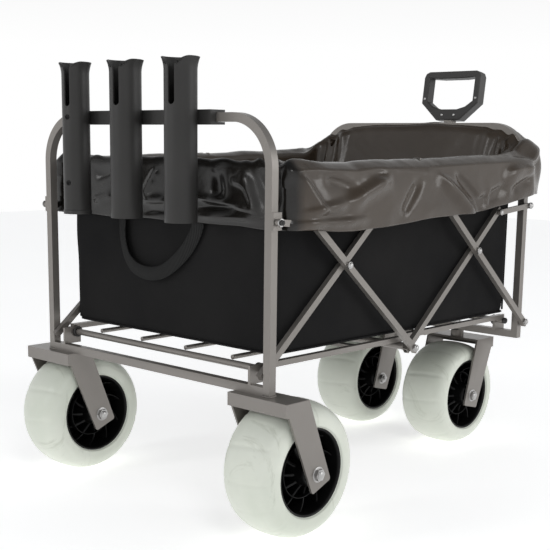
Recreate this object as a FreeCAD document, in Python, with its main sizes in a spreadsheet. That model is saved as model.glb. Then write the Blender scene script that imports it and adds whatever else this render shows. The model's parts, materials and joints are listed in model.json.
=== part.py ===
"""Folding beach cart: two tube hoops joined by scissor bars, a hinged floor, a soft tub,
balloon wheels, a rack of three rod holders and a telescopic pull handle.

Millimetres, +Z up, +X towards the pull handle, +Y to the cart's left side. The origin is on
the ground under the middle of the cart. All driving dimensions are in the spreadsheet Dims.
Right-hand pieces are built at negative Y and the left-hand ones are mirrored.
"""
import FreeCAD, Part
import math
import os
import Sketcher

V = FreeCAD.Vector

DIMENSIONS = {
    # overall layout
    "rear_x": -363.5,             # plane of the rear posts
    "frame_length": 666.0,        # rear posts to front posts
    "rear_post_y": 245.0,
    "front_post_y": 230.0,
    "post_foot_z": 210.0,
    "hoop_top_z": 585.0,          # centreline of the hoops' top tube
    "hoop_bend": 68.0,
    "tube": 12.5,
    "tube_wall": 1.5,
    "crossbar_high": 12.5,
    "crossbar_low_z": 210.0,
    # scissor bars
    "pivot_z": 241.0,
    "hub_top_z": 522.0,
    "hub_low_z": 235.5,
    "bar_tail": 94.2,
    "bar_high": 10.0,
    "bar_thick": 8.5,
    "bar_end": 9.0,
    "inner_bar_y": 233.25,
    "outer_bar_y": 242.75,
    "pin_radius": 3.2,
    "hole_radius": 3.4,
    "head_radius": 5.5,
    "head_thick": 2.2,
    "low_tube_radius": 6.0,
    # short links that hold up the tails of the scissor bars
    "link_pivot_z": 448.0,
    "link_high": 9.0,
    "link_thick": 5.5,
    "rear_link_y": 258.75,
    "front_link_y": 241.75,
    "plate_thick": 3.5,
    # hinged floor
    "floor_hinge_x": 18.0,
    "floor_z": 241.0,
    "floor_tube_radius": 5.0,
    "rail_high": 8.0,
    "rail_wide": 10.0,
    "rail_z": 248.0,
    "rear_rail_y": 222.0,
    "front_rail_y": 209.0,
    "rail_gap": 12.0,
    "slat_radius": 3.5,
    "slat_pitch": 100.0,
    "setback": 92.0,
    "lug_inset": 10.0,
    "lug_thick": 4.0,
    # forks and wheels
    "axle_z": 100.0,
    "rear_wheel_y": 240.0,
    "front_axle_z": 94.5,
    "trail": 44.0,
    "caster_trail": 26.0,
    "fork_offset": 3.0,
    "fork_width": 112.0,
    "fork_plate": 3.5,
    "fork_long": 46.0,
    "caster_lead": 38.0,
    "caster_back": 16.0,
    "fork_lip": 19.0,
    "fork_leg": 41.0,
    "fork_past": 21.0,
    "fork_end_radius": 4.0,
    "caster_y": 105.0,
    "caster_top_z": 198.0,
    "axle_radius": 6.0,
    "tyre_radius": 100.0,
    "front_tyre_radius": 94.5,
    "tyre_width": 94.0,
    "tyre_shoulder": 29.0,
    "rim_radius": 64.0,
    "rim_width": 80.0,
    "rim_wall": 5.0,
    "hub_radius": 20.0,
    "hub_width": 97.0,
    "web_thick": 12.0,
    "bearing_radius": 13.0,
    "bearing_wide": 10.0,
    "stem_radius": 4.0,
    # rod holder rack
    "holder_radius": 20.75,
    "holder_bore": 18.2,
    "holder_low_z": 441.0,
    "holder_high": 224.0,
    "flare_radius": 24.6,
    "flare_bore": 22.2,
    "flare_high": 13.0,
    "holder_floor": 3.0,
    "reel_slot": 7.0,
    "reel_slot_high": 62.0,
    "holder_pitch": 117.0,
    "rack_y": 8.0,
    "clamp_y": 0.0,
    "clamp_long": 292.0,
    "clamp_high": 20.0,
    "clamp_front": 17.5,
    "clamp_back": 10.0,
    "screw_radius": 2.4,
    "screw_hole": 2.6,
    "low_hole_z": 488.0,
    # soft tub and liner
    "cloth": 3.0,
    "tub_inset": 32.0,
    "tub_half": 222.0,
    "tub_low_z": 258.0,
    "tub_top_z": 538.0,
    "base_top_z": 330.0,
    "cuff_half": 269.0,
    "cuff_low_z": 440.0,
    "far_cuff_low_z": 470.0,
    "liner_top_z": 544.0,
    "cover_top_z": 600.0,
    "cover_out": 28.0,
    # pull handle
    "handle_out": 48.0,
    "handle_z": 222.0,
    "handle_lean": 8.0,
    "outer_tube": 22.0,
    "inner_tube": 17.0,
    "outer_long": 320.0,
    "grip_low": 379.0,
    "grip_high": 94.0,
    "grip_half": 65.0,
    "grip_neck": 27.0,
    "grip_thick": 22.0,
    "grip_bar": 13.0,
    "collar_high": 26.0,
    "collar_wide": 30.0,
}

REAR = "Dims.rear_x"
FRONT = "(Dims.rear_x+Dims.frame_length)"
HALF = "(Dims.frame_length/2)"
MIDDLE = f"({REAR}+{HALF})"
BAR_RISE = "(Dims.hub_top_z-Dims.pivot_z)"
CROSS_Z = "((Dims.hub_top_z+Dims.hub_low_z)/2)"
CROSS_RUN = f"({HALF}*({CROSS_Z}-Dims.pivot_z)/{BAR_RISE})"
SLOPE = f"atan2({BAR_RISE}; {HALF})"
LONG_BAR = f"sqrt({HALF}*{HALF}+{BAR_RISE}*{BAR_RISE})"
TO_CROSS = f"({LONG_BAR}*{CROSS_RUN}/{HALF})"
CROSS_TO_HUB = f"({LONG_BAR}-{TO_CROSS})"
TAIL_RUN = f"({CROSS_RUN}-Dims.bar_tail*{HALF}/{LONG_BAR})"
TAIL_Z = f"({CROSS_Z}+Dims.bar_tail*{BAR_RISE}/{LONG_BAR})"
INNER_FACE = "(Dims.inner_bar_y-Dims.bar_thick/2)"
OUTER_FACE = "(Dims.outer_bar_y+Dims.bar_thick/2)"
CLEAR = 0.4

doc = FreeCAD.newDocument("BeachCart")
nodes = []


def make_sheet():
    """Driving dimensions, one named cell each."""
    sheet = doc.addObject("Spreadsheet::Sheet", "Dims")
    for row, (name, value) in enumerate(DIMENSIONS.items(), start=1):
        sheet.set(f"A{row}", name)
        sheet.set(f"B{row}", str(value))
        sheet.setAlias(f"B{row}", name)
    doc.recompute()


def keep(obj, name):
    """Name a finished sub-part and list it for export."""
    obj.Label = name
    nodes.append(obj)
    return obj


def place(obj, x="0", y="0", z="0", axis=None, angle=None):
    """Bind an object's position, and its turn about one axis, to expressions."""
    if axis is not None:
        obj.Placement = FreeCAD.Placement(V(0, 0, 0), FreeCAD.Rotation(axis, 10))
        obj.setExpression("Placement.Rotation.Angle", angle)
    for letter, text in zip("xyz", (x, y, z)):
        obj.setExpression(f"Placement.Base.{letter}", text)
    return obj


def bind(obj, **sizes):
    for name, text in sizes.items():
        obj.setExpression(name, text)
    return obj


# ---------------------------------------------------------------- plain solids

def box(name, x, y, z):
    """Block between two corners, each given as a pair of expressions per axis."""
    obj = doc.addObject("Part::Box", name)
    spans = [f"({high})-({low})" for low, high in (x, y, z)]
    bind(obj, Length=spans[0], Width=spans[1], Height=spans[2])
    return place(obj, x[0], y[0], z[0])


def rod(name, radius, x, z, low_y, high_y):
    """Round bar along Y."""
    obj = doc.addObject("Part::Cylinder", name)
    bind(obj, Radius=radius, Height=f"({high_y})-({low_y})")
    obj.Placement = FreeCAD.Placement(V(0, 0, 0), FreeCAD.Rotation(V(1, 0, 0), -90))
    return place(obj, x, low_y, z)


def post(name, radius, x, y, low_z, high_z):
    """Round bar along Z."""
    obj = doc.addObject("Part::Cylinder", name)
    bind(obj, Radius=radius, Height=f"({high_z})-({low_z})")
    return place(obj, x, y, low_z)


def fuse(name, pieces):
    obj = doc.addObject("Part::MultiFuse", name)
    obj.Shapes = pieces
    obj.Refine = True
    return obj


def cut(name, base, tool):
    obj = doc.addObject("Part::Cut", name)
    obj.Base = base
    obj.Tool = tool
    return obj


def group(name, pieces):
    """Separate solids that share one node."""
    obj = doc.addObject("Part::Compound", name)
    obj.Links = pieces
    return obj


def mirrored(name, source):
    """Left-hand copy of a right-hand piece."""
    obj = doc.addObject("Part::Mirroring", name)
    obj.Source = source
    obj.Base = V(0, 0, 0)
    obj.Normal = V(0, 1, 0)
    return obj


def both_sides(name, pieces):
    """One node that holds right-hand pieces and their left-hand copies."""
    copies = [mirrored(f"{piece.Name}_left", piece) for piece in pieces]
    return keep(group(name, pieces + copies), name)


# ------------------------------------------------------------ sketched bodies

def new_body(name):
    body = doc.addObject("PartDesign::Body", name)
    body.Label = name
    return body


def new_sketch(body, name, role):
    """Sketch on one of the body's own origin planes."""
    sketch = body.newObject("Sketcher::SketchObject", name)
    plane = [item for item in body.Origin.OriginFeatures if item.Role == role][0]
    sketch.AttachmentSupport = [(plane, "")]
    sketch.MapMode = "FlatFace"
    return sketch


def pin_down(sketch, geometry, vertex, across, up):
    """Fix a sketch point by its distances from the sketch origin."""
    for kind, text in (("DistanceX", across), ("DistanceY", up)):
        index = sketch.addConstraint(Sketcher.Constraint(kind, -1, 1, geometry, vertex, 1.0))
        sketch.setExpression(f"Constraints[{index}]", text)


def number(text):
    """Value of an expression, used only to start a sketch near its solution."""
    value = doc.getObject("Dims").evalExpression(text.replace("Dims.", ""))
    return float(getattr(value, "Value", value))


def polygon(sketch, corners):
    """Closed outline whose corners are pairs of expressions."""
    points = [V(number(across), number(up), 0) for across, up in corners]
    first = sketch.GeometryCount
    for start, end in zip(points, points[1:] + points[:1]):
        sketch.addGeometry(Part.LineSegment(start, end))
    last = first + len(points) - 1
    for index in range(first, last):
        sketch.addConstraint(Sketcher.Constraint("Coincident", index, 2, index + 1, 1))
    sketch.addConstraint(Sketcher.Constraint("Coincident", last, 2, first, 1))
    for index, (across, up) in enumerate(corners):
        pin_down(sketch, first + index, 1, across, up)


def rectangle(sketch, left, low, right, high):
    polygon(sketch, [(left, low), (right, low), (right, high), (left, high)])


def circle(sketch, across, up, radius):
    centre = V(number(across), number(up), 0)
    index = sketch.addGeometry(Part.Circle(centre, V(0, 0, 1), number(radius)))
    pin_down(sketch, index, 3, across, up)
    size = sketch.addConstraint(Sketcher.Constraint("Radius", index, number(radius)))
    sketch.setExpression(f"Constraints[{size}]", radius)


def pad(body, sketch, length, symmetric=True):
    feature = body.newObject("PartDesign::Pad", f"{sketch.Name}_pad")
    feature.Profile = sketch
    feature.SideType = "Symmetric" if symmetric else "One side"
    feature.setExpression("Length", length)
    return feature


def pocket(body, sketch, length):
    feature = body.newObject("PartDesign::Pocket", f"{sketch.Name}_pocket")
    feature.Profile = sketch
    feature.SideType = "Symmetric"
    feature.setExpression("Length", length)
    return feature


def revolve(body, sketch, axis):
    feature = body.newObject("PartDesign::Revolution", f"{sketch.Name}_turn")
    feature.Profile = sketch
    feature.ReferenceAxis = (sketch, [axis])
    feature.Angle = 360
    return feature


def fillet(body, base, name, radius, chosen):
    """Round the edges of a feature that the test chosen(edge) picks."""
    doc.recompute()
    edges = [f"Edge{i}" for i, edge in enumerate(base.Shape.Edges, start=1) if chosen(edge)]
    feature = body.newObject("PartDesign::Fillet", name)
    feature.Base = (base, edges)
    feature.setExpression("Radius", radius)
    return feature


# --------------------------------------------------------------------- frames

def ring_profile(sketch, across, up, size, wall):
    """Hollow square section about a centre."""
    rectangle(sketch, f"{across}-{size}/2", f"{up}-{size}/2", f"{across}+{size}/2", f"{up}+{size}/2")
    inner = f"({size}/2-{wall})"
    rectangle(sketch, f"{across}-{inner}", f"{up}-{inner}", f"{across}+{inner}", f"{up}+{inner}")


def hoop(name, x, half_width, foot_z):
    """Square tube bent to an upside-down U."""
    body = new_body(name)
    rise = f"(Dims.hoop_top_z-{foot_z})"
    half, tall, bend = number(half_width), number(rise), number("Dims.hoop_bend")
    path = new_sketch(body, f"{name}_path", "YZ_Plane")
    path.addGeometry(Part.LineSegment(V(half, 0, 0), V(half, tall - bend, 0)))
    path.addGeometry(Part.ArcOfCircle(
        Part.Circle(V(half - bend, tall - bend, 0), V(0, 0, 1), bend), 0, math.pi / 2))
    path.addGeometry(Part.LineSegment(V(half - bend, tall, 0), V(bend - half, tall, 0)))
    path.addGeometry(Part.ArcOfCircle(
        Part.Circle(V(bend - half, tall - bend, 0), V(0, 0, 1), bend), math.pi / 2, math.pi))
    path.addGeometry(Part.LineSegment(V(-half, tall - bend, 0), V(-half, 0, 0)))
    for first, end, second, start in ((0, 2, 1, 1), (1, 2, 2, 1), (2, 2, 3, 1), (3, 2, 4, 1)):
        path.addConstraint(Sketcher.Constraint("Tangent", first, end, second, start))
    path.addConstraint(Sketcher.Constraint("Horizontal", 2))
    path.addConstraint(Sketcher.Constraint("Vertical", 0))
    path.addConstraint(Sketcher.Constraint("Vertical", 4))
    path.addConstraint(Sketcher.Constraint("Equal", 1, 3))
    bend_size = path.addConstraint(Sketcher.Constraint("Radius", 1, bend))
    path.setExpression(f"Constraints[{bend_size}]", "Dims.hoop_bend")
    top = path.addConstraint(Sketcher.Constraint("DistanceY", -1, 1, 2, 1, tall))
    path.setExpression(f"Constraints[{top}]", rise)
    pin_down(path, 0, 1, half_width, "0")
    pin_down(path, 4, 2, f"-{half_width}", "0")
    section = new_sketch(body, f"{name}_section", "XY_Plane")
    ring_profile(section, "0", half_width, "Dims.tube", "Dims.tube_wall")
    doc.recompute()
    sweep = body.newObject("PartDesign::AdditivePipe", f"{name}_sweep")
    sweep.Profile = section
    sweep.Spine = (path, [])
    place(body, x, "0", foot_z)
    return keep(body, name)


def crossbar(name, x, half_width, stems=()):
    """Hollow bar along Y between the feet of a hoop, drilled for any caster stems."""
    body = new_body(name)
    section = new_sketch(body, f"{name}_section", "XZ_Plane")
    wide, high, wall = "Dims.tube/2", "Dims.crossbar_high/2", "Dims.tube_wall"
    rectangle(section, f"-{wide}", f"-{high}", wide, high)
    rectangle(section, f"-({wide}-{wall})", f"-({high}-{wall})", f"{wide}-{wall}", f"{high}-{wall}")
    pad(body, section, f"2*({half_width}-Dims.tube/2)")
    if stems:
        drill = new_sketch(body, f"{name}_stem_holes", "XY_Plane")
        for y in stems:
            circle(drill, "0", y, "Dims.stem_radius+0.3")
        pocket(body, drill, "2*Dims.crossbar_high")
    return place(body, x, "0", f"Dims.crossbar_low_z+{high}")


def join_crossbar(name, tube, lug, extra):
    """Crossbar with everything that is welded to it."""
    keep(fuse(name, [tube, lug, mirrored(f"{lug.Name}_left", lug)] + extra), name)


# --------------------------------------------------------------- scissor bars

def scissor_bar(name, length, holes, x, y, z, turn):
    """Flat-sided tube with a pivot hole at each of the given distances, and its left-hand twin."""
    body = new_body(f"{name}_right")
    section = new_sketch(body, f"{name}_section", "YZ_Plane")
    thick, high, wall = "Dims.bar_thick/2", "Dims.bar_high/2", "Dims.tube_wall"
    rectangle(section, f"-{thick}", f"-{high}", thick, high)
    rectangle(section, f"-({thick}-{wall})", f"-({high}-{wall})", f"{thick}-{wall}", f"{high}-{wall}")
    pad(body, section, f"{length}+Dims.bar_end", symmetric=False)
    tail_section = new_sketch(body, f"{name}_tail", "YZ_Plane")
    rectangle(tail_section, f"-{thick}", f"-{high}", thick, high)
    pad(body, tail_section, "2*Dims.bar_end")
    drill = new_sketch(body, f"{name}_holes", "XZ_Plane")
    for hole in holes:
        circle(drill, hole, "0", "Dims.hole_radius")
    pocket(body, drill, "2*Dims.bar_thick")
    place(body, x, f"-{y}", z, V(0, 1, 0), f"-({turn})")
    both_sides(f"{name}s", [body])


def scissor_bars():
    long_holes = ["0", TO_CROSS, LONG_BAR]
    tail_bar = f"(Dims.bar_tail+{CROSS_TO_HUB})"
    tail_holes = ["0", "Dims.bar_tail", tail_bar]
    rear_tail_x, front_tail_x = f"{REAR}+{TAIL_RUN}", f"{FRONT}-{TAIL_RUN}"
    scissor_bar("rear_long_bar", LONG_BAR, long_holes, REAR, "Dims.inner_bar_y", "Dims.pivot_z", SLOPE)
    scissor_bar("rear_short_bar", tail_bar, tail_holes, rear_tail_x, "Dims.outer_bar_y", TAIL_Z,
                f"-({SLOPE})")
    scissor_bar("front_short_bar", tail_bar, tail_holes, front_tail_x, "Dims.inner_bar_y", TAIL_Z,
                f"180 deg+{SLOPE}")
    scissor_bar("front_long_bar", LONG_BAR, long_holes, FRONT, "Dims.outer_bar_y", "Dims.pivot_z",
                f"180 deg-{SLOPE}")


def headed_pin(name, x, z, inner_y, outer_y):
    """Pin from an inner to an outer distance on the right side, with a low round head outside."""
    shank = rod(f"{name}_shank", "Dims.pin_radius", x, z, f"-({outer_y})", f"-({inner_y})")
    head = rod(f"{name}_head", "Dims.head_radius", x, z,
               f"-({outer_y}+Dims.head_thick)", f"-({outer_y})")
    return fuse(name, [shank, head])


def scissor_pins():
    through = (f"{INNER_FACE}-{CLEAR}", f"{OUTER_FACE}+{CLEAR}")
    rear_cross = headed_pin("rear_rivet", f"{REAR}+{CROSS_RUN}", CROSS_Z, *through)
    front_cross = headed_pin("front_rivet", f"{FRONT}-{CROSS_RUN}", CROSS_Z, *through)
    top_hub = headed_pin("top_hub", MIDDLE, "Dims.hub_top_z", *through)
    low_hub = headed_pin("low_hub", MIDDLE, "Dims.hub_low_z", *through)
    rear_stud = rod("rear_stud", "Dims.pin_radius", REAR, "Dims.pivot_z",
                    "-(Dims.rear_post_y-Dims.tube/2)", f"-({INNER_FACE}-{CLEAR})")
    front_stud = headed_pin("front_stud", FRONT, "Dims.pivot_z", "Dims.front_post_y+Dims.tube/2",
                            f"{OUTER_FACE}+{CLEAR}")
    both_sides("rear_bar_rivets", [rear_cross, top_hub])
    both_sides("front_bar_rivets", [front_cross])
    both_sides("low_hub_pins", [low_hub])
    end_y = f"({INNER_FACE}-{CLEAR})"
    tube = rod("low_hub_tube", "Dims.low_tube_radius", MIDDLE, "Dims.hub_low_z", f"-{end_y}", end_y)
    keep(tube, "middle_crossbar")
    return rear_stud, front_stud


def link_bar(name, post_x, tail_x, y, pin_y):
    """Short flat link from a post to the tail of a scissor bar, riveted to its tail pin."""
    rise = f"({TAIL_Z}-Dims.link_pivot_z)"
    run = f"(({tail_x})-({post_x}))"
    reach = f"sqrt({run}*{run}+{rise}*{rise})"
    body = new_body(f"{name}_right")
    outline = new_sketch(body, f"{name}_outline", "XZ_Plane")
    high = "Dims.link_high/2"
    rectangle(outline, f"-{high}", f"-{high}", f"{reach}+{high}", high)
    pad(body, outline, "Dims.link_thick")
    drill = new_sketch(body, f"{name}_hole", "XZ_Plane")
    circle(drill, "0", "0", "Dims.hole_radius")
    cut = pocket(body, drill, "2*Dims.link_thick")
    fillet(body, cut, f"{name}_ends", f"{high}-0.3",
           lambda edge: abs(edge.tangentAt(edge.FirstParameter).y) > 0.9 and edge.Length < 20
           and len(edge.Vertexes) == 2)
    place(body, post_x, f"-{y}", "Dims.link_pivot_z", V(0, 1, 0), f"-atan2({rise}; {run})")
    pin = rod(f"{name}_pin", "Dims.pin_radius", tail_x, TAIL_Z, f"-{y}", f"-({pin_y}+{CLEAR})")
    both_sides(f"{name}s", [fuse(f"{name}_with_pin", [body, pin])])


def links(rear_stud, front_stud):
    rear_tail_x, front_tail_x = f"{REAR}+{TAIL_RUN}", f"{FRONT}-{TAIL_RUN}"
    link_bar("rear_link", REAR, rear_tail_x, "Dims.rear_link_y", OUTER_FACE)
    link_bar("front_link", FRONT, front_tail_x, "Dims.front_link_y",
             "(Dims.inner_bar_y+Dims.bar_thick/2)")
    outer = "(Dims.rear_link_y+Dims.link_thick/2)"
    face = "(Dims.rear_post_y+Dims.tube/2)"
    plate = box("rear_bracket", (f"{REAR}-Dims.tube/2", f"{REAR}+Dims.tube/2+4"),
                (f"-({face}+Dims.plate_thick)", f"-{face}"),
                ("Dims.link_pivot_z-11", "Dims.link_pivot_z+13"))
    both_sides("rear_link_brackets", [plate])
    rear_bolt = headed_pin("rear_link_bolt", REAR, "Dims.link_pivot_z",
                           f"{face}+Dims.plate_thick", f"{outer}+{CLEAR}")
    front_bolt = headed_pin("front_link_bolt", FRONT, "Dims.link_pivot_z",
                            "Dims.front_post_y+Dims.tube/2",
                            f"Dims.front_link_y+Dims.link_thick/2+{CLEAR}")
    both_sides("rear_pivot_bolts", [rear_stud, rear_bolt])
    both_sides("front_pivot_bolts", [front_stud, front_bolt])


# --------------------------------------------------------------- hinged floor

def floor_half(end, post_x, sense, rail_y, slat_shift):
    """Half of the floor: end tube on the hinge, side rails, one set-back cross tube and rods."""
    hinge_x = f"({post_x}{sense}Dims.floor_hinge_x)"
    near = f"({hinge_x}{sense}Dims.floor_tube_radius)"
    back = f"({MIDDLE}{'-' if sense == '+' else '+'}Dims.setback)"
    tip = f"({MIDDLE}{'-' if sense == '+' else '+'}2)"
    ends = (hinge_x, tip) if sense == "+" else (tip, hinge_x)
    rail_low = "Dims.rail_z-Dims.rail_high/2"
    rail_high = "Dims.rail_z+Dims.rail_high/2"
    rail = box(f"{end}_rail", (ends[0], ends[1]),
               (f"-({rail_y}+Dims.rail_wide/2)", f"-({rail_y}-Dims.rail_wide/2)"),
               (rail_low, rail_high))
    bore = rod(f"{end}_rail_bore", f"Dims.floor_tube_radius", hinge_x, "Dims.floor_z",
               f"-({rail_y}+Dims.rail_wide)", f"-({rail_y}-Dims.rail_wide)")
    both_sides(f"floor_rails_{end}", [cut(f"{end}_rail_trimmed", rail, bore)])
    reach = f"({rail_y}-Dims.rail_wide/2)"
    tube = rod(f"{end}_end_tube", "Dims.floor_tube_radius", hinge_x, "Dims.floor_z",
               f"-({rail_y}+Dims.rail_wide/2)", f"{rail_y}+Dims.rail_wide/2")
    cross = box(f"floor_cross_{end}", (f"{back}-6", f"{back}+6"),
                (f"-{reach}", reach), (f"{rail_low}-4", f"{rail_high}-2*Dims.slat_radius"))
    keep(group(f"floor_cross_tubes_{end}", [tube, cross]), f"floor_cross_tubes_{end}")
    rods = []
    for step in (-1.5, -0.5, 0.5, 1.5):
        y = f"({step}*Dims.slat_pitch+{slat_shift * (1 if step < 0 else -1)})"
        slat = doc.addObject("Part::Cylinder", f"{end}_slat_{len(rods)}")
        bind(slat, Radius="Dims.slat_radius", Height=f"abs(({tip})-({near}))")
        slat.Placement = FreeCAD.Placement(V(0, 0, 0), FreeCAD.Rotation(V(0, 1, 0), 90))
        start = near if sense == "+" else tip
        place(slat, start, y, "Dims.rail_z+Dims.rail_high/2-Dims.slat_radius")
        rods.append(slat)
    keep(group(f"floor_rods_{end}", rods), f"floor_rods_{end}")


def lugs(end, post_x, sense, rail_y):
    """Two plates welded on a crossbar to carry the floor's end tube; returns the right one."""
    hinge_x = f"({post_x}{sense}Dims.floor_hinge_x)"
    wall = "(Dims.floor_tube_radius+3)"
    outer_x = f"({hinge_x}{sense}{wall})"
    base_x = f"({post_x}{'-' if sense == '+' else '+'}Dims.tube/2)"
    ends = (base_x, outer_x) if sense == "+" else (outer_x, base_x)
    lug_y = f"({rail_y}-Dims.lug_inset)"
    plate = box(f"{end}_lug_plate", ends,
                (f"-({lug_y}+Dims.lug_thick/2)", f"-({lug_y}-Dims.lug_thick/2)"),
                ("Dims.crossbar_low_z+Dims.crossbar_high", "Dims.floor_z+Dims.floor_tube_radius+3"))
    bore = rod(f"{end}_lug_bore", "Dims.floor_tube_radius+0.3", hinge_x, "Dims.floor_z",
               f"-({lug_y}+Dims.lug_thick)", f"-({lug_y}-Dims.lug_thick)")
    return cut(f"{end}_lug", plate, bore)


# ----------------------------------------------------------- forks and wheels

def fork(name, x, y, top_z, turn, lead, back, trail, axle_z):
    """Upside-down channel with a slanting leg on each side of the wheel."""
    body = new_body(name)
    side = new_sketch(body, f"{name}_side", "XZ_Plane")
    lip = f"({top_z}-Dims.fork_lip)"
    drop = f"({top_z}-{axle_z})"
    leg = f"sqrt({trail}*{trail}+{drop}*{drop})"
    past_x = f"({trail}+Dims.fork_past*{trail}/{leg})"
    past_z = f"({axle_z}-Dims.fork_past*{drop}/{leg})"
    wide_x, wide_z = f"Dims.fork_leg/2*{drop}/{leg}", f"Dims.fork_leg/2*{trail}/{leg}"
    polygon(side, [(f"-{lead}", top_z), (back, top_z), (f"{past_x}+{wide_x}", f"{past_z}+{wide_z}"),
                   (f"{past_x}-{wide_x}", f"{past_z}-{wide_z}"), (f"6-{lead}", lip), (f"-{lead}", lip)])
    block = pad(body, side, "Dims.fork_width")
    foot = number(f"{past_z}+{wide_z}") + 1
    fillet(body, block, f"{name}_leg_ends", "Dims.fork_end_radius",
           lambda edge: abs(edge.tangentAt(edge.FirstParameter).y) > 0.9
           and edge.BoundBox.ZMax < foot)
    hollow = new_sketch(body, f"{name}_hollow", "XZ_Plane")
    inner = f"(Dims.fork_plate-{lead})"
    polygon(hollow, [(inner, f"{top_z}-Dims.fork_plate"), (inner, lip), ("-60", lip), ("-60", "40"),
                     ("120", "40"), ("120", f"{top_z}-Dims.fork_plate")])
    pocket(body, hollow, "Dims.fork_width-2*Dims.fork_plate")
    drill = new_sketch(body, f"{name}_axle_hole", "XZ_Plane")
    circle(drill, trail, axle_z, "Dims.axle_radius+0.1")
    pocket(body, drill, "2*Dims.fork_width")
    return place(body, x, y, "0", V(0, 0, 1), turn)


def axle_bolt(name, x, y, axle_z):
    """Long bolt with a hexagon head at one end and a nut at the other."""
    reach = "(Dims.fork_width/2+0.2)"
    shank = rod(f"{name}_shank", "Dims.axle_radius", x, axle_z,
                f"{y}-{reach}-5", f"{y}+{reach}+8")
    ends = []
    for label, low in (("head", f"{y}-{reach}-5"), ("nut", f"{y}+{reach}")):
        hexagon = doc.addObject("Part::Prism", f"{name}_{label}")
        hexagon.Polygon = 6
        bind(hexagon, Circumradius="Dims.axle_radius*1.5", Height="5")
        hexagon.Placement = FreeCAD.Placement(V(0, 0, 0), FreeCAD.Rotation(V(1, 0, 0), -90))
        ends.append(place(hexagon, x, low, axle_z))
    return fuse(name, [shank] + ends)


def wheel(name, x, y, radius, axle_z):
    """Balloon tyre, spoked hub body and a pair of bearings."""
    tyre = new_body(f"tyre_{name}")
    section = new_sketch(tyre, f"tyre_{name}_section", "YZ_Plane")
    half = "Dims.tyre_width/2"
    rectangle(section, f"-{half}", "Dims.rim_radius", half, radius)
    low, knee, high = "Dims.rim_radius+5", "Dims.rim_radius+14", f"{radius}-7"
    wide, narrow = f"{half}-7", f"{half}-23"
    polygon(section, [(f"-({wide})", low), (wide, low), (wide, knee), (narrow, high),
                      (f"-({narrow})", high), (f"-({wide})", knee)])
    turned = revolve(tyre, section, "H_Axis")
    outer = number(radius)
    fillet(tyre, turned, f"tyre_{name}_shoulders", "Dims.tyre_shoulder",
           lambda edge: edge.Curve.TypeId == "Part::GeomCircle" and abs(edge.Curve.Radius - outer) < 1)
    place(tyre, x, y, axle_z)
    keep(tyre, f"tyre_{name}")

    hub = new_body(f"hub_{name}")
    shape = new_sketch(hub, f"hub_{name}_section", "YZ_Plane")
    rim, web, nave = "Dims.rim_width/2", "Dims.web_thick/2", "Dims.hub_width/2"
    barrel = "Dims.rim_radius-Dims.rim_wall"
    bore, seat = "Dims.axle_radius+1.5", "Dims.bearing_radius"
    shoulder = f"{nave}-Dims.bearing_wide"
    right = [(nave, seat), (nave, "Dims.hub_radius"), (web, "Dims.hub_radius"), (web, barrel),
             (rim, barrel), (rim, "Dims.rim_radius")]
    left = [(f"-({across})", up) for across, up in reversed(right)]
    inside = [(f"-({shoulder})", seat), (f"-({shoulder})", bore), (shoulder, bore), (shoulder, seat)]
    polygon(shape, right + left + inside)
    revolve(hub, shape, "H_Axis")
    place(hub, x, y, axle_z)
    keep(hub, f"hub_{name}")

    rings = []
    for side, low in (("a", f"{y}-{nave}"), ("b", f"{y}+{shoulder}")):
        outer_ring = rod(f"bearing_{name}_{side}_outer", seat, x, axle_z,
                         low, f"{low}+Dims.bearing_wide")
        hole = rod(f"bearing_{name}_{side}_hole", "Dims.axle_radius+0.05", x, axle_z,
                   f"{low}-1", f"{low}+Dims.bearing_wide+1")
        rings.append(cut(f"bearing_{name}_{side}", outer_ring, hole))
    keep(group(f"bearings_{name}", rings), f"bearings_{name}")


def running_gear():
    rear_x = f"({REAR}+Dims.fork_offset)"
    rear_axle = f"({rear_x}+Dims.trail)"
    front_axle = f"({FRONT}-Dims.caster_trail)"
    rear_bolts = []
    for side, sign in (("right", "-"), ("left", "")):
        y = f"({sign}Dims.rear_wheel_y)"
        legs = fork(f"rear_fork_{side}", rear_x, y, "Dims.post_foot_z", "0", "Dims.fork_long/2",
                    "Dims.fork_long/2", "Dims.trail", "Dims.axle_z")
        keep(legs, f"rear_fork_{side}")
        wheel(f"rear_{side}", rear_axle, y, "Dims.tyre_radius", "Dims.axle_z")
        rear_bolts.append(axle_bolt(f"rear_axle_{side}", rear_axle, y, "Dims.axle_z"))
    keep(group("rear_axle_bolts", rear_bolts), "rear_axle_bolts")
    for side, sign in (("right", "-"), ("left", "")):
        y = f"({sign}Dims.caster_y)"
        legs = fork(f"caster_legs_{side}", FRONT, y, "Dims.caster_top_z", "180", "Dims.caster_lead",
                    "Dims.caster_back", "Dims.caster_trail", "Dims.front_axle_z")
        wheel(f"front_{side}", front_axle, y, "Dims.front_tyre_radius", "Dims.front_axle_z")
        bolt = axle_bolt(f"caster_axle_bolt_{side}", front_axle, y, "Dims.front_axle_z")
        keep(bolt, f"caster_axle_bolt_{side}")
        race = post(f"caster_race_{side}", "12", FRONT, y, "Dims.caster_top_z",
                    f"Dims.crossbar_low_z-{CLEAR}")
        top = f"(Dims.crossbar_low_z+Dims.crossbar_high+{CLEAR})"
        stem = post(f"caster_stem_{side}", "Dims.stem_radius", FRONT, y, "Dims.caster_top_z",
                    f"{top}+10")
        keep(fuse(f"caster_fork_{side}", [legs, race, stem]), f"caster_fork_{side}")
        nut = post(f"caster_nut_block_{side}", "7", FRONT, y, top, f"{top}+6")
        thread = post(f"caster_nut_thread_{side}", "Dims.stem_radius+0.05", FRONT, y, f"{top}-1",
                      f"{top}+8")
        keep(cut(f"caster_nut_{side}", nut, thread), f"caster_nut_{side}")


# ------------------------------------------------------------ rod holder rack

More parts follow.
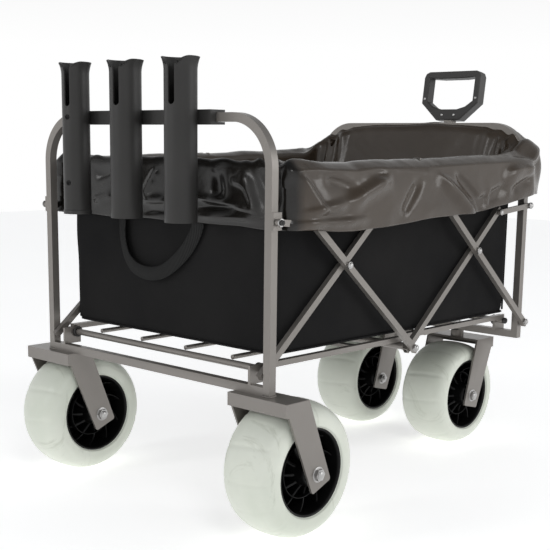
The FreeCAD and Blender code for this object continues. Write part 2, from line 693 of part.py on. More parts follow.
def rod_holder(name, step):
    """Moulded tube with a flared mouth, a reel slot, a closed foot and two screw holes."""
    body = new_body(name)
    section = new_sketch(body, f"{name}_section", "XZ_Plane")
    top, flare = "Dims.holder_high", "Dims.holder_high-Dims.flare_high"
    polygon(section, [("4", "0"), ("Dims.holder_radius", "0"), ("Dims.holder_radius", flare),
                      ("Dims.flare_radius", top), ("Dims.flare_bore", top),
                      ("Dims.holder_bore", flare), ("Dims.holder_bore", "Dims.holder_floor"),
                      ("4", "Dims.holder_floor")])
    revolve(body, section, "V_Axis")
    slot = new_sketch(body, f"{name}_slot", "YZ_Plane")
    wide = "Dims.reel_slot/2"
    low = "Dims.holder_high-Dims.reel_slot_high"
    polygon(slot, [(f"-{wide}", low), (wide, low), (wide, f"{top}-Dims.flare_high*0.8"),
                   (f"{wide}*2.4", f"{top}+1"), (f"-{wide}*2.4", f"{top}+1"),
                   (f"-{wide}", f"{top}-Dims.flare_high*0.8")])
    cut = body.newObject("PartDesign::Pocket", f"{name}_slot_pocket")
    cut.Profile = slot
    cut.SideType = "One side"
    cut.setExpression("Length", "Dims.flare_radius+2")
    holes = new_sketch(body, f"{name}_holes", "YZ_Plane")
    for height in ("Dims.hoop_top_z-Dims.holder_low_z", "Dims.low_hole_z-Dims.holder_low_z"):
        circle(holes, "0", height, "Dims.screw_hole")
    pocket(body, holes, "3*Dims.flare_radius")
    y = f"Dims.rack_y+({step})*Dims.holder_pitch"
    x = f"{REAR}-Dims.clamp_front-Dims.holder_radius-0.05"
    place(body, x, y, "Dims.holder_low_z")
    return keep(body, name)


def rack():
    """Channel that clamps on the rear hoop's top tube, three rod holders and their screws."""
    clamp = new_body("rack_clamp")
    section = new_sketch(clamp, "rack_clamp_section", "XZ_Plane")
    high, groove = "Dims.clamp_high/2", "(Dims.tube/2+0.3)"
    polygon(section, [("-Dims.clamp_front", f"-{high}"), ("Dims.clamp_back", f"-{high}"),
                      ("Dims.clamp_back", f"-{groove}"), (f"-{groove}", f"-{groove}"),
                      (f"-{groove}", groove), ("Dims.clamp_back", groove),
                      ("Dims.clamp_back", high), ("-Dims.clamp_front", high)])
    pad(clamp, section, "Dims.clamp_long")
    drill = new_sketch(clamp, "rack_clamp_holes", "YZ_Plane")
    for step in (-1, 0, 1):
        circle(drill, f"Dims.rack_y-Dims.clamp_y+({step})*Dims.holder_pitch", "0", "Dims.screw_hole")
    pocket(clamp, drill, "4*Dims.clamp_front")
    place(clamp, REAR, "Dims.clamp_y", "Dims.hoop_top_z")
    keep(clamp, "rack_clamp")
    screws = []
    for step, label in ((-1, "right"), (0, "middle"), (1, "left")):
        rod_holder(f"rod_holder_{label}", step)
        screw = doc.addObject("Part::Cylinder", f"rack_screw_{label}")
        wall = "(Dims.clamp_front+Dims.holder_radius-Dims.holder_bore)"
        bind(screw, Radius="Dims.screw_radius", Height=f"{wall}-Dims.tube/2-0.5")
        screw.Placement = FreeCAD.Placement(V(0, 0, 0), FreeCAD.Rotation(V(0, 1, 0), 90))
        place(screw, f"{REAR}-{wall}+0.1", f"Dims.rack_y+({step})*Dims.holder_pitch",
              "Dims.hoop_top_z")
        screws.append(screw)
    keep(group("rack_screws", screws), "rack_screws")


# ----------------------------------------------------------------- soft goods

def tub():
    """Plain panels of the fabric tub: ends, sides and a base tray."""
    half, cloth = "Dims.tub_half", "Dims.cloth"
    near, far = f"({REAR}+Dims.tub_inset)", f"({FRONT}-Dims.tub_inset)"
    gap = "0.3"
    base_top = f"Dims.base_top_z-{gap}"
    full = (f"-{half}", half)
    keep(box("tub_rear_panel", (near, f"{near}+{cloth}"), full, ("Dims.base_top_z", "Dims.tub_top_z")),
         "tub_rear_panel")
    keep(box("tub_front_panel", (f"{far}-{cloth}", far), full, ("Dims.base_top_z", "Dims.tub_top_z")),
         "tub_front_panel")
    side_x = (f"{near}+{cloth}+{gap}", f"{far}-{cloth}-{gap}")
    side = box("tub_side_panel", side_x, (f"-{half}", f"-({half}-{cloth})"),
               ("Dims.base_top_z", "Dims.tub_top_z"))
    tray = box("tub_base_block", (near, far), full, ("Dims.tub_low_z", base_top))
    room = box("tub_base_room", (f"{near}+{cloth}", f"{far}-{cloth}"),
               (f"-({half}-{cloth})", f"{half}-{cloth}"), (f"Dims.tub_low_z+{cloth}", "Dims.tub_top_z"))
    base = cut("tub_base", tray, room)
    keep(group("tub_sides_and_base", [side, mirrored("tub_left_panel", side), base]),
         "tub_sides_and_base")


def liner():
    """Loose film liner: a thin tub inside, a flange over the rim and a cuff hanging outside."""
    cloth = "Dims.cloth"
    skin = f"(Dims.tub_half-{cloth}-0.5)"
    near = f"({REAR}+Dims.tub_inset+{cloth}+0.5)"
    far = f"({FRONT}-Dims.tub_inset-{cloth}-0.5)"
    low = f"(Dims.tub_low_z+{cloth}+0.5)"
    top, flange = "Dims.liner_top_z", f"(Dims.liner_top_z-{cloth})"
    cuff = "Dims.cuff_half"
    outside_x = f"({FRONT}+Dims.cover_out)"
    behind_x = f"({FRONT}-Dims.tube/2-1)"
    near_cuff = f"({REAR}+Dims.tube/2+14)"
    side_start = f"({REAR}+Dims.tube/2+7)"
    pieces = [
        box("liner_floor", (near, far), (f"-{skin}", skin), (low, f"{low}+{cloth}")),
        box("liner_rear_wall", (near, f"{near}+{cloth}"), (f"-{skin}", skin), (low, top)),
        box("liner_front_wall", (f"{far}-{cloth}", far), (f"-{skin}", skin), (low, top)),
        box("liner_right_wall", (near, far), (f"-{skin}", f"-({skin}-{cloth})"), (low, top)),
        box("liner_left_wall", (near, far), (f"{skin}-{cloth}", skin), (low, top)),
        box("liner_rear_flange", (near_cuff, f"{near}+{cloth}"), ("-236", "236"), (flange, top)),
        box("liner_rear_cuff", (near_cuff, f"{near_cuff}+{cloth}"), ("-236", "236"),
            ("Dims.cuff_low_z-8", top)),
        box("liner_front_flange", (f"{far}-{cloth}", behind_x), (f"-{cuff}", cuff), (flange, top)),
        box("liner_front_rise", (f"{behind_x}-{cloth}", behind_x), ("-200", "200"),
            (flange, "Dims.cover_top_z")),
        box("liner_front_cover", (f"{behind_x}-{cloth}", outside_x), ("-200", "200"),
            (f"Dims.cover_top_z-{cloth}", "Dims.cover_top_z")),
        box("liner_front_cuff", (f"{outside_x}-{cloth}", outside_x), (f"-{cuff}", cuff),
            ("Dims.far_cuff_low_z", "Dims.tub_top_z")),
        box("liner_front_face", (f"{outside_x}-{cloth}", outside_x), ("-200", "200"),
            ("Dims.tub_top_z-1", "Dims.cover_top_z")),
    ]
    for side, low_y, high_y, cuff_low, cuff_high in (
            ("right", f"-{cuff}", f"-({skin}-{cloth})", f"-{cuff}", f"-({cuff}-{cloth})"),
            ("left", f"{skin}-{cloth}", cuff, f"{cuff}-{cloth}", cuff)):
        pieces.append(box(f"liner_{side}_flange", (side_start, behind_x), (low_y, high_y),
                          (flange, top)))
        pieces.append(box(f"liner_{side}_cuff", (side_start, outside_x), (cuff_low, cuff_high),
                          ("Dims.cuff_low_z", top)))
    keep(fuse("liner", pieces), "liner")


def carry_strap():
    """Webbing loop that hangs on the outside of the rear panel."""
    body = new_body("carry_strap")
    outline = new_sketch(body, "carry_strap_outline", "YZ_Plane")
    polygon(outline, [("-98", "460"), ("-84", "460"), ("-79", "414"), ("-12", "368"), ("26", "363"),
                      ("62", "372"), ("88", "425"), ("92", "460"), ("106", "460"), ("102", "420"),
                      ("72", "360"), ("28", "349"), ("-20", "354"), ("-92", "406")])
    pad(body, outline, "Dims.cloth-0.5")
    place(body, f"{REAR}+Dims.tub_inset-Dims.cloth/2-0.2", "5", "0")
    keep(body, "carry_strap")


# ---------------------------------------------------------------- pull handle

def handle_cheeks():
    """Two cheeks welded on the front crossbar, one on each side of the handle's foot."""
    near, far = "(Dims.outer_tube/2+0.4)", "(Dims.outer_tube/2+4.4)"
    cheeks = []
    for side, low_y, high_y in (("right", f"-{far}", f"-{near}"), ("left", near, far)):
        plate = box(f"handle_cheek_plate_{side}",
                    (f"{FRONT}+Dims.tube/2-1", f"{FRONT}+Dims.handle_out+10"),
                    (low_y, high_y), ("Dims.crossbar_low_z", "Dims.crossbar_low_z+24"))
        bore = rod(f"handle_cheek_bore_{side}", "Dims.pin_radius+0.05", f"{FRONT}+Dims.handle_out",
                   "Dims.handle_z", f"{low_y}-1", f"{high_y}+1")
        cheeks.append(cut(f"handle_cheek_{side}", plate, bore))
    return cheeks


def handle_body(name):
    """Body whose own Z axis runs up the leaning handle from its pivot."""
    body = new_body(name)
    place(body, f"{FRONT}+Dims.handle_out", "0", "Dims.handle_z", V(0, 1, 0),
          "Dims.handle_lean")
    return body


def square_length(body, name, size, wall, low, high):
    """Hollow square tube along the body's Z axis."""
    section = new_sketch(body, f"{name}_section", "XY_Plane")
    ring_profile(section, "0", "0", size, wall)
    feature = pad(body, section, f"({high})-({low})", symmetric=False)
    section.setExpression("AttachmentOffset.Base.z", low)
    return feature


def pull_handle():
    clear = "0.3"
    outer = handle_body("handle_outer_tube")
    wall = f"(Dims.outer_tube/2-Dims.inner_tube/2-{clear})"
    square_length(outer, "handle_outer", "Dims.outer_tube", wall, "-12", "Dims.outer_long")
    drill = new_sketch(outer, "handle_outer_hole", "XZ_Plane")
    circle(drill, "0", "0", "Dims.pin_radius+0.2")
    pocket(outer, drill, "2*Dims.outer_tube")
    keep(outer, "handle_outer_tube")

    inner = handle_body("handle_inner_tube")
    square_length(inner, "handle_inner", "Dims.inner_tube", "Dims.tube_wall", "40",
                  "Dims.grip_low+8")
    keep(inner, "handle_inner_tube")

    collar = handle_body("handle_collar")
    ring = new_sketch(collar, "handle_collar_ring", "XY_Plane")
    ring_profile(ring, "0", "0", "Dims.collar_wide", f"(Dims.collar_wide/2-Dims.inner_tube/2-{clear})")
    ring.setExpression("AttachmentOffset.Base.z", "Dims.outer_long+0.1")
    pad(collar, ring, "Dims.collar_high", symmetric=False)
    keep(collar, "handle_collar")

    grip = handle_body("handle_grip")
    outline = new_sketch(grip, "handle_grip_outline", "YZ_Plane")
    low, top = "Dims.grip_low", "Dims.grip_low+Dims.grip_high"
    side, neck, bar = "Dims.grip_half", "Dims.grip_neck", "Dims.grip_bar"
    right = [(neck, low), (side, f"{low}+33"), (side, f"{top}-11"), (f"{side}-3.5", f"{top}-3.5"),
             (f"{side}-11", top)]
    polygon(outline, right + [(f"-({across})", up) for across, up in reversed(right)])
    inner = f"({side}-{bar})"
    right = [(f"{inner}*0.35", f"{low}+21"), (f"{inner}*0.7", f"{low}+26"), (inner, f"{low}+37"),
             (inner, f"{top}-{bar}+1"), (f"{inner}*0.5", f"{top}-{bar}-1")]
    polygon(outline, right + [(f"-({across})", up) for across, up in reversed(right)])
    block = pad(grip, outline, "Dims.grip_thick")
    fillet(grip, block, "handle_grip_round", "2.5",
           lambda edge: abs(edge.tangentAt(edge.FirstParameter).x) < 0.1)
    socket = new_sketch(grip, "handle_grip_socket", "XY_Plane")
    rectangle(socket, *[f"{sign}(Dims.inner_tube/2+0.02)" for sign in ("-", "-", "", "")])
    socket.setExpression("AttachmentOffset.Base.z", low)
    pocket(grip, socket, "2*8.1")
    keep(grip, "handle_grip")

    screws = []
    for index, (y, up) in enumerate((("-14", "10"), ("14", "10"), ("-58.5", "42"), ("58.5", "42"))):
        screw = doc.addObject("Part::Cylinder", f"grip_screw_{index}")
        bind(screw, Radius="2.6", Height="1.6")
        screws.append(screw)
        turn = FreeCAD.Rotation(V(0, 1, 0), -90)
        screw.Placement = FreeCAD.Placement(V(0, 0, 0), turn)
        place(screw, "-Dims.grip_thick/2", y, f"Dims.grip_low+{up}")
    screw_set = group("grip_screws", screws)
    place(screw_set, f"{FRONT}+Dims.handle_out", "0", "Dims.handle_z", V(0, 1, 0), "Dims.handle_lean")
    keep(screw_set, "grip_screws")

    cheek = "(Dims.outer_tube/2+0.4)"
    bolt = rod("handle_bolt_shank", "Dims.pin_radius", f"{FRONT}+Dims.handle_out", "Dims.handle_z",
               f"-({cheek}+7)", f"{cheek}+7")
    keep(bolt, "handle_pivot_bolt")


def check():
    """Stop before anything is written if an object failed."""
    doc.recompute()
    for obj in doc.Objects:
        if "Invalid" in obj.State or "Error" in obj.State:
            raise RuntimeError(f"{obj.Name} failed: {obj.State}")
    for node in nodes:
        if node.Shape.isNull() or not node.Shape.isValid():
            raise RuntimeError(f"{node.Label} has no valid shape")


make_sheet()
hoop("rear_hoop", REAR, "Dims.rear_post_y", "Dims.post_foot_z")
hoop("front_hoop", FRONT, "Dims.front_post_y", "Dims.crossbar_low_z")
rear_cross = crossbar("rear_crossbar_tube", REAR, "Dims.rear_post_y")
front_cross = crossbar("front_crossbar_tube", FRONT, "Dims.front_post_y",
                       ("-Dims.caster_y", "Dims.caster_y"))
join_crossbar("rear_crossbar", rear_cross, lugs("rear", REAR, "+", "Dims.rear_rail_y"), [])
join_crossbar("front_crossbar", front_cross, lugs("front", FRONT, "-", "Dims.front_rail_y"), handle_cheeks())
scissor_bars()
links(*scissor_pins())
floor_half("rear", REAR, "+", "Dims.rear_rail_y", 0)
floor_half("front", FRONT, "-", "Dims.front_rail_y", 12)
running_gear()
rack()
tub()
liner()
carry_strap()
pull_handle()
check()
os.makedirs("parts", exist_ok=True)
for node in nodes:
    node.Shape.exportStep(f"parts/{node.Label}.step")
print(f"{len(nodes)} sub-parts")
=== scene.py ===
import bmesh
import bpy
import json
import math
import numpy as np
from mathutils import Matrix, Vector, noise


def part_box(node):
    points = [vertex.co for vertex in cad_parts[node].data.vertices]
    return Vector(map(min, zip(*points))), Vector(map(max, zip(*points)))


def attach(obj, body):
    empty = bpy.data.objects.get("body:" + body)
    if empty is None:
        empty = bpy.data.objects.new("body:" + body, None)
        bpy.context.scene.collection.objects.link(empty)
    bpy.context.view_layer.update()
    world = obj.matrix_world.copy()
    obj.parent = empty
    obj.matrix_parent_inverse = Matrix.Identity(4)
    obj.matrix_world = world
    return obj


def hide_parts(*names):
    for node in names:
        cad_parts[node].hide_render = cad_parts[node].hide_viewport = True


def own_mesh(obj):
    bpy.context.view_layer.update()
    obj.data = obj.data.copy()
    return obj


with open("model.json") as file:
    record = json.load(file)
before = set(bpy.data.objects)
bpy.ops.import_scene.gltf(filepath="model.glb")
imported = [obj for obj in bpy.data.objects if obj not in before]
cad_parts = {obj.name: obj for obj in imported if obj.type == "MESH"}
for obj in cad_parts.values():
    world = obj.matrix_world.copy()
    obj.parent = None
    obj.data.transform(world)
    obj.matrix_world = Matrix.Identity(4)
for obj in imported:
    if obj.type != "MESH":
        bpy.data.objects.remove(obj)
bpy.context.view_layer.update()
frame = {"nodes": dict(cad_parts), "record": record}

# Frame layout in metres, as in the CAD: x of the two hoops and of the middle between them.
REAR, FRONT = -0.3635, 0.3025
MID = (REAR + FRONT) / 2

# Heights of the scissor bars' pivots, of the links' pivots and of the floor's hinges.
FOOT_Z, TOP_HUB_Z, LOW_HUB_Z = 0.241, 0.522, 0.2355
LINK_Z = 0.448
FLOOR_Z = 0.241
# How far a short bar's tail reaches past the rivet where the bars cross.
TAIL = 0.0942

AXLE = (0, 1, 0)
UPRIGHT = (0, 0, 1)
SIDES = (-1, 1)


# ---------------------------------------------------------------- materials

class Nodes:
    """Small helper round one material's node tree."""

    def __init__(self, name):
        self.mat = bpy.data.materials.new(name)
        self.mat.use_nodes = True
        self.tree = self.mat.node_tree
        self.shader = self.tree.nodes["Principled BSDF"]
        self.coord = self.tree.nodes.new("ShaderNodeTexCoord").outputs["Object"]

    def put(self, socket, value):
        """Links a socket into another, or sets its plain value."""
        if isinstance(value, bpy.types.NodeSocket):
            self.tree.links.new(value, socket)
        else:
            socket.default_value = value

    def add(self, kind, **inputs):
        node = self.tree.nodes.new(kind)
        for key, value in inputs.items():
            self.put(node.inputs[key.replace("_", " ")], value)
        return node

    def set(self, **inputs):
        """Sets inputs of the shader and gives back the finished material."""
        for key, value in inputs.items():
            self.put(self.shader.inputs[key.replace("_", " ")], value)
        return self.mat

    def scaled(self, x, y, z):
        return self.add("ShaderNodeMapping", Vector=self.coord, Scale=(x, y, z)).outputs[0]

    def noise(self, scale, detail=3.0, vector=None, distortion=0.0, rough=0.5):
        node = self.add("ShaderNodeTexNoise", Scale=scale, Detail=detail, Distortion=distortion,
                        Roughness=rough, Vector=vector or self.coord)
        return node.outputs["Fac"]

    def ramp(self, fac, low, high, start=0.3, end=0.7):
        """Colour between two colours."""
        node = self.add("ShaderNodeValToRGB", Fac=fac)
        first, last = node.color_ramp.elements
        first.position, first.color = start, low
        last.position, last.color = end, high
        return node.outputs["Color"]

    def span(self, fac, low, high):
        """Number between two numbers."""
        node = self.add("ShaderNodeMapRange", Value=fac, To_Min=low, To_Max=high)
        return node.outputs[0]

    def math(self, operation, a, b=0.0):
        node = self.tree.nodes.new("ShaderNodeMath")
        node.operation = operation
        self.put(node.inputs[0], a)
        self.put(node.inputs[1], b)
        return node.outputs[0]

    def mix(self, share, base, other, blend="MIX"):
        """Colour mix of a base and another colour."""
        node = self.tree.nodes.new("ShaderNodeMix")
        node.data_type, node.blend_type = "RGBA", blend
        for index, value in ((0, share), (6, base), (7, other)):
            self.put(node.inputs[index], value)
        return node.outputs[2]

    def bump(self, height, strength, distance, normal=None):
        node = self.add("ShaderNodeBump", Height=height, Strength=strength, Distance=distance)
        if normal is not None:
            self.put(node.inputs["Normal"], normal)
        return node.outputs[0]


def rgb(red, green, blue):
    return (red, green, blue, 1)


def grey(value, warm=0.0):
    return rgb(value * (1 + warm), value, value * (1 - warm))


def painted_edge_highlight(n, base, highlight_colour, amount=0.35):
    """Painted highlight: slightly lighter colour on exposed edges, where light would glint."""
    point = n.tree.nodes.new("ShaderNodeNewGeometry").outputs["Pointiness"]
    mask = n.ramp(point, rgb(0, 0, 0), rgb(1, 1, 1), 0.51, 0.60)
    return n.mix(n.math("MULTIPLY", mask, amount), base, highlight_colour)


def make_paint():
    n = Nodes("frame paint")
    tone = n.ramp(n.noise(9.0, 4), rgb(0.122, 0.110, 0.098), rgb(0.158, 0.144, 0.130))
    # The frame's edges get a painted highlight, lighter than the paint.
    return n.set(Base_Color=painted_edge_highlight(n, tone, rgb(0.36, 0.34, 0.32)), Metallic=0.45,
                 Roughness=n.span(n.noise(40.0, 3), 0.26, 0.38),
                 Normal=n.bump(n.noise(900.0, 2), 0.12, 0.0004))


def make_zinc():
    n = Nodes("zinc steel")
    return n.set(Base_Color=n.ramp(n.noise(60.0, 4), grey(0.34, 0.02), grey(0.48, 0.01)), Metallic=1.0,
                 Roughness=n.span(n.noise(180.0, 3), 0.22, 0.42),
                 Normal=n.bump(n.noise(700.0), 0.1, 0.0003))


def make_tyre():
    """Pale foam with cloudy tone, thin scuff lines round it and a slightly uneven skin."""
    n = Nodes("balloon tyre")
    cloud = n.ramp(n.noise(11.0, 4, distortion=0.4), rgb(0.60, 0.635, 0.555), rgb(0.69, 0.715, 0.64))
    lines = n.noise(5.0, 6, n.scaled(6, 1, 1.4), 1.6, 0.7)
    scuff = n.ramp(lines, rgb(0.42, 0.43, 0.36), rgb(1, 1, 1), 0.30, 0.42)
    dents = n.bump(n.noise(14.0, 2), 0.30, 0.004)
    return n.set(Base_Color=n.mix(0.35, cloud, scuff, "MULTIPLY"), Specular_IOR_Level=0.35,
                 Roughness=n.span(n.noise(30.0, 3), 0.26, 0.42),
                 Normal=n.bump(n.noise(60.0, 5), 0.22, 0.0014, dents))


def make_hub():
    n = Nodes("hub plastic")
    return n.set(Base_Color=n.ramp(n.noise(25.0, 3), grey(0.0025), grey(0.005)), Specular_IOR_Level=0.18,
                 Roughness=n.span(n.noise(50.0, 3), 0.30, 0.44),
                 Normal=n.bump(n.noise(240.0), 0.08, 0.0005))


def make_plastic(name, value, rough=0.42):
    """Moulded plastic with a fine grain and edges lightened by a painted highlight."""
    n = Nodes(name)
    tone = n.ramp(n.noise(16.0, 3), grey(value * 0.92, 0.03), grey(value * 1.1, 0.03))
    return n.set(Base_Color=painted_edge_highlight(n, tone, grey(value * 1.9, 0.02), 0.5), Specular_IOR_Level=0.28,
                 Roughness=n.span(n.noise(70.0, 3), rough - 0.06, rough + 0.08),
                 Normal=n.bump(n.noise(1500.0, 2), 0.16, 0.0003))


def weave(n, pitch, across=True):
    """Height of over-and-under threads from two crossed waves, or of ribs one way only."""
    scale = math.pi / pitch
    place = n.add("ShaderNodeSeparateXYZ", Vector=n.coord)
    flat = n.math("ADD", place.outputs["X"], place.outputs["Y"])
    one = n.math("SINE", n.math("MULTIPLY", flat, scale))
    two = n.math("SINE", n.math("MULTIPLY", place.outputs["Z"], scale))
    return n.math("MULTIPLY", one, two) if across else n.math("ABSOLUTE", one)


def make_fabric():
    n = Nodes("tub fabric")
    tone = n.ramp(n.noise(5.0, 4), rgb(0.0105, 0.0105, 0.0110), rgb(0.0165, 0.0160, 0.0160))
    slack = n.bump(n.noise(7.0, 3), 0.2, 0.004)
    return n.set(Base_Color=tone, Specular_IOR_Level=0.06,
                 Roughness=n.span(n.noise(300.0), 0.78, 0.92),
                 Normal=n.bump(weave(n, 0.0011), 0.35, 0.0004, slack))


def make_film():
    """Glossy brown film, with its rear end painted black as shade, where that end faces away from the light.
    """
    n = Nodes("liner film")
    place = n.add("ShaderNodeSeparateXYZ", Vector=n.coord)
    # Painted shade: the film's colour turns black towards its rear end.
    share = n.add("ShaderNodeMapRange", Value=place.outputs["X"], From_Min=REAR + 0.026,
                  From_Max=REAR + 0.040).outputs[0]
    brown = n.ramp(n.noise(8.0, 3), rgb(0.036, 0.026, 0.018), rgb(0.052, 0.039, 0.028))
    painted_shade_black = n.ramp(n.noise(8.0, 3), rgb(0.004, 0.0035, 0.003), rgb(0.008, 0.0065, 0.005))
    soft = n.bump(n.noise(10.0, 3, n.scaled(1, 1, 1.3), 0.4), 0.30, 0.010)
    fine = n.bump(n.noise(55.0, 4, n.scaled(1, 1, 1.6), 0.8), 0.10, 0.002, soft)
    return n.set(Base_Color=n.mix(share, painted_shade_black, brown), Specular_IOR_Level=0.45,
                 Roughness=n.span(n.noise(20.0, 3), 0.20, 0.30), Normal=fine)


def make_webbing():
    n = Nodes("webbing")
    ribs = weave(n, 0.0024, across=False)
    threads = n.bump(weave(n, 0.0012), 0.4, 0.0004)
    return n.set(Base_Color=n.ramp(ribs, grey(0.011), grey(0.026)), Roughness=0.85,
                 Specular_IOR_Level=0.1, Normal=n.bump(ribs, 0.6, 0.0008, threads))


MATERIALS = {
    "frame_paint": make_paint(), "zinc_steel": make_zinc(), "tyre_foam": make_tyre(),
    "hub_plastic": make_hub(), "rack_plastic": make_plastic("rack plastic", 0.026),
    "tub_fabric": make_fabric(), "liner_film": make_film(), "webbing": make_webbing(),
    "grip_plastic": make_plastic("grip plastic", 0.042, 0.40),
}


# ------------------------------------------------------------- mesh helpers

def make(name, verts, faces, material, body, smooth=True):
    """Mesh object with a material, which rides a body where one is named."""
    name = name.replace(" ", "_")
    mesh = bpy.data.meshes.new(name)
    mesh.from_pydata([tuple(v) for v in verts], [], faces)
    mesh.update()
    obj = bpy.data.objects.new(name, mesh)
    bpy.context.scene.collection.objects.link(obj)
    finish_mesh(obj, material, smooth)
    if body:
        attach(obj, body)
    return obj


def finish_mesh(obj, material, smooth):
    """Closes seams, turns the faces outward and gives the piece its material and slot."""
    bm = bmesh.new()
    bm.from_mesh(obj.data)
    bmesh.ops.remove_doubles(bm, verts=bm.verts, dist=1e-6)
    bmesh.ops.recalc_face_normals(bm, faces=bm.faces)
    bm.to_mesh(obj.data)
    bm.free()
    obj.data.materials.clear()
    obj.data.materials.append(MATERIALS[material])
    obj.data.polygons.foreach_set("use_smooth", [smooth] * len(obj.data.polygons))


def bevel(obj, width, segments=3, angle=30):
    """Rounds the edges that are sharper than an angle in degrees."""
    mod = obj.modifiers.new("bevel", "BEVEL")
    mod.width = width
    mod.segments = segments
    mod.limit_method = "ANGLE"
    mod.angle_limit = math.radians(angle)
    mod.harden_normals = True


def grid_faces(rows, columns, wrap_rows=False, wrap_columns=False):
    """Quads of a grid of points, which may close on itself either way."""
    faces = []
    for i in range(rows if wrap_rows else rows - 1):
        for j in range(columns if wrap_columns else columns - 1):
            k, m = (i + 1) % rows, (j + 1) % columns
            faces.append((i * columns + j, i * columns + m, k * columns + m, k * columns + j))
    return faces


def basis(axis):
    """An axis as a unit vector, and two directions square to it."""
    a = Vector(axis).normalized()
    u = a.orthogonal().normalized()
    return a, u, a.cross(u)


def lathe(name, profile, centre, axis, material, body, segments=64, wobble=None):
    """Closed profile of (along, radius) pairs turned about an axis."""
    a, u, w = basis(axis)
    verts = []
    for i in range(segments):
        angle = 2 * math.pi * i / segments
        out = u * math.cos(angle) + w * math.sin(angle)
        for along, radius in profile:
            extra = wobble(angle, along, radius) if wobble else 0.0
            verts.append(Vector(centre) + a * along + out * (radius + extra))
    return make(name, verts, grid_faces(segments, len(profile), True, True), material, body)


def dome(name, centre, axis, radius, height, material, body, washer=1.35):
    """Domed rivet or bolt head on a thin washer."""
    profile = [(0, 0.0001), (0, radius * washer), (height * 0.22, radius * washer),
               (height * 0.26, radius * (washer - 0.06)), (height * 0.28, radius * 1.02)]
    for k in range(7):
        turn = k / 6 * math.pi / 2
        profile.append((height * (0.28 + 0.72 * math.sin(turn)), max(radius * math.cos(turn), 0.0001)))
    return lathe(name, profile, centre, axis, material, body, 28)


def hex_head(name, centre, axis, across, height, material, body):
    """Hexagon nut with a washer under it and a rounded bolt tip through it."""
    a, u, w = basis(axis)
    verts = []
    for along, radius in ((0, across * 0.5), (height * 0.86, across * 0.5), (height, across * 0.44)):
        for i in range(6):
            angle = math.pi / 3 * i
            verts.append(Vector(centre) + a * along + (u * math.cos(angle) + w * math.sin(angle)) * radius)
    faces = grid_faces(3, 6, False, True) + [tuple(range(6)), tuple(range(12, 18))]
    nut = make(name, verts, faces, material, body, smooth=False)
    bevel(nut, 0.0004, 2)
    tip = Vector(centre) + a * height * 0.9
    dome(f"{name} tip", tip, axis, across * 0.26, height * 0.45, material, body, 1.02)
    dome(f"{name} washer", Vector(centre) - a * 0.0012, axis, across * 0.62, 0.0013, material, body, 1.0)


def sweep(name, path, section, material, body, closed=False, up=(0, 0, 1)):
    """Section of (side, up) pairs carried along a path of points."""
    points = [Vector(p) for p in path]
    count = len(points)
    verts = []
    for i, point in enumerate(points):
        before = points[(i - 1) % count] if closed or i else point
        after = points[(i + 1) % count] if closed or i < count - 1 else point
        along = (after - before).normalized()
        side = along.cross(Vector(up)).normalized()
        top = side.cross(along)
        verts += [point + side * s + top * t for s, t in section]
    faces = grid_faces(count, len(section), closed, True)
    if not closed:
        faces += [tuple(range(len(section))), tuple(range(len(verts) - len(section), len(verts)))]
    return make(name, verts, faces, material, body)


def ring(radius, count):
    """Round section of (side, up) pairs."""
    return [(radius * math.cos(2 * math.pi * i / count), radius * math.sin(2 * math.pi * i / count))
            for i in range(count)]


def smooth_path(points, steps=8):
    """Catmull-Rom curve through points."""
    p = [Vector(q) for q in points]
    p = [p[0] * 2 - p[1]] + p + [p[-1] * 2 - p[-2]]
    out = []
    for i in range(1, len(p) - 2):
        for k in range(steps):
            t = k / steps
            out.append(0.5 * ((2 * p[i]) + (p[i + 1] - p[i - 1]) * t
                              + (2 * p[i - 1] - 5 * p[i] + 4 * p[i + 1] - p[i + 2]) * t * t
                              + (3 * p[i] - p[i - 1] - 3 * p[i + 1] + p[i + 2]) * t ** 3))
    out.append(p[-2])
    return out


def wave(x, y, z, scale, seed):
    """Smooth noise between -1 and 1 that is the same on each run."""
    return noise.noise(Vector((x * scale + seed, y * scale - seed, z * scale + 2 * seed)))


# ------------------------------------------------------------ CAD nodes kept

SLOTS = {item["node"]: item["material_slot"] for item in frame["record"]["subparts"]}
REPLACED = ("tyre_", "hub_", "liner", "tub_", "carry_strap", "rod_holder_", "grip_screws")
# Corner radius of each tube and moulding that is rounder than a cut edge.
SOFT_EDGE = {"rear_hoop": 0.0028, "front_hoop": 0.0028, "handle_grip": 0.0016, "rack_clamp": 0.0018,
             "handle_outer_tube": 0.0022, "handle_inner_tube": 0.0018, "handle_collar": 0.0028,
             "rear_long_bars": 0.0022, "rear_short_bars": 0.0022, "front_long_bars": 0.0022,
             "front_short_bars": 0.0022, "rear_crossbar": 0.0016, "front_crossbar": 0.0016}

for name, obj in frame["nodes"].items():
    if not name.startswith(REPLACED):
        obj.data.materials.clear()
        obj.data.materials.append(MATERIALS[SLOTS[name]])
        obj.data.polygons.foreach_set("use_smooth", [True] * len(obj.data.polygons))
        bevel(obj, SOFT_EDGE.get(name, 0.0009), 3, 35)


# ---------------------------------------------------------------- wheels

# Half of the tyre's section: (share of the half width, share of the way from the rim to the crown).
TYRE = [(-0.935, 0.0), (-0.985, 0.05), (-0.998, 0.17), (-1.0, 0.30), (-0.975, 0.46), (-0.905, 0.63),
        (-0.79, 0.77), (-0.62, 0.885), (-0.42, 0.955), (-0.21, 0.99), (0.0, 1.0)]
TYRE_HALF = 0.047
BEAD_RADIUS = 0.0645
SPOKES = 10


def mirrored(half):
    """Closed profile from its half on one side of the wheel's middle."""
    inner = half[1:-1] if half[0][0] == 0 else half
    return half + [(-along, radius) for along, radius in reversed(inner)]


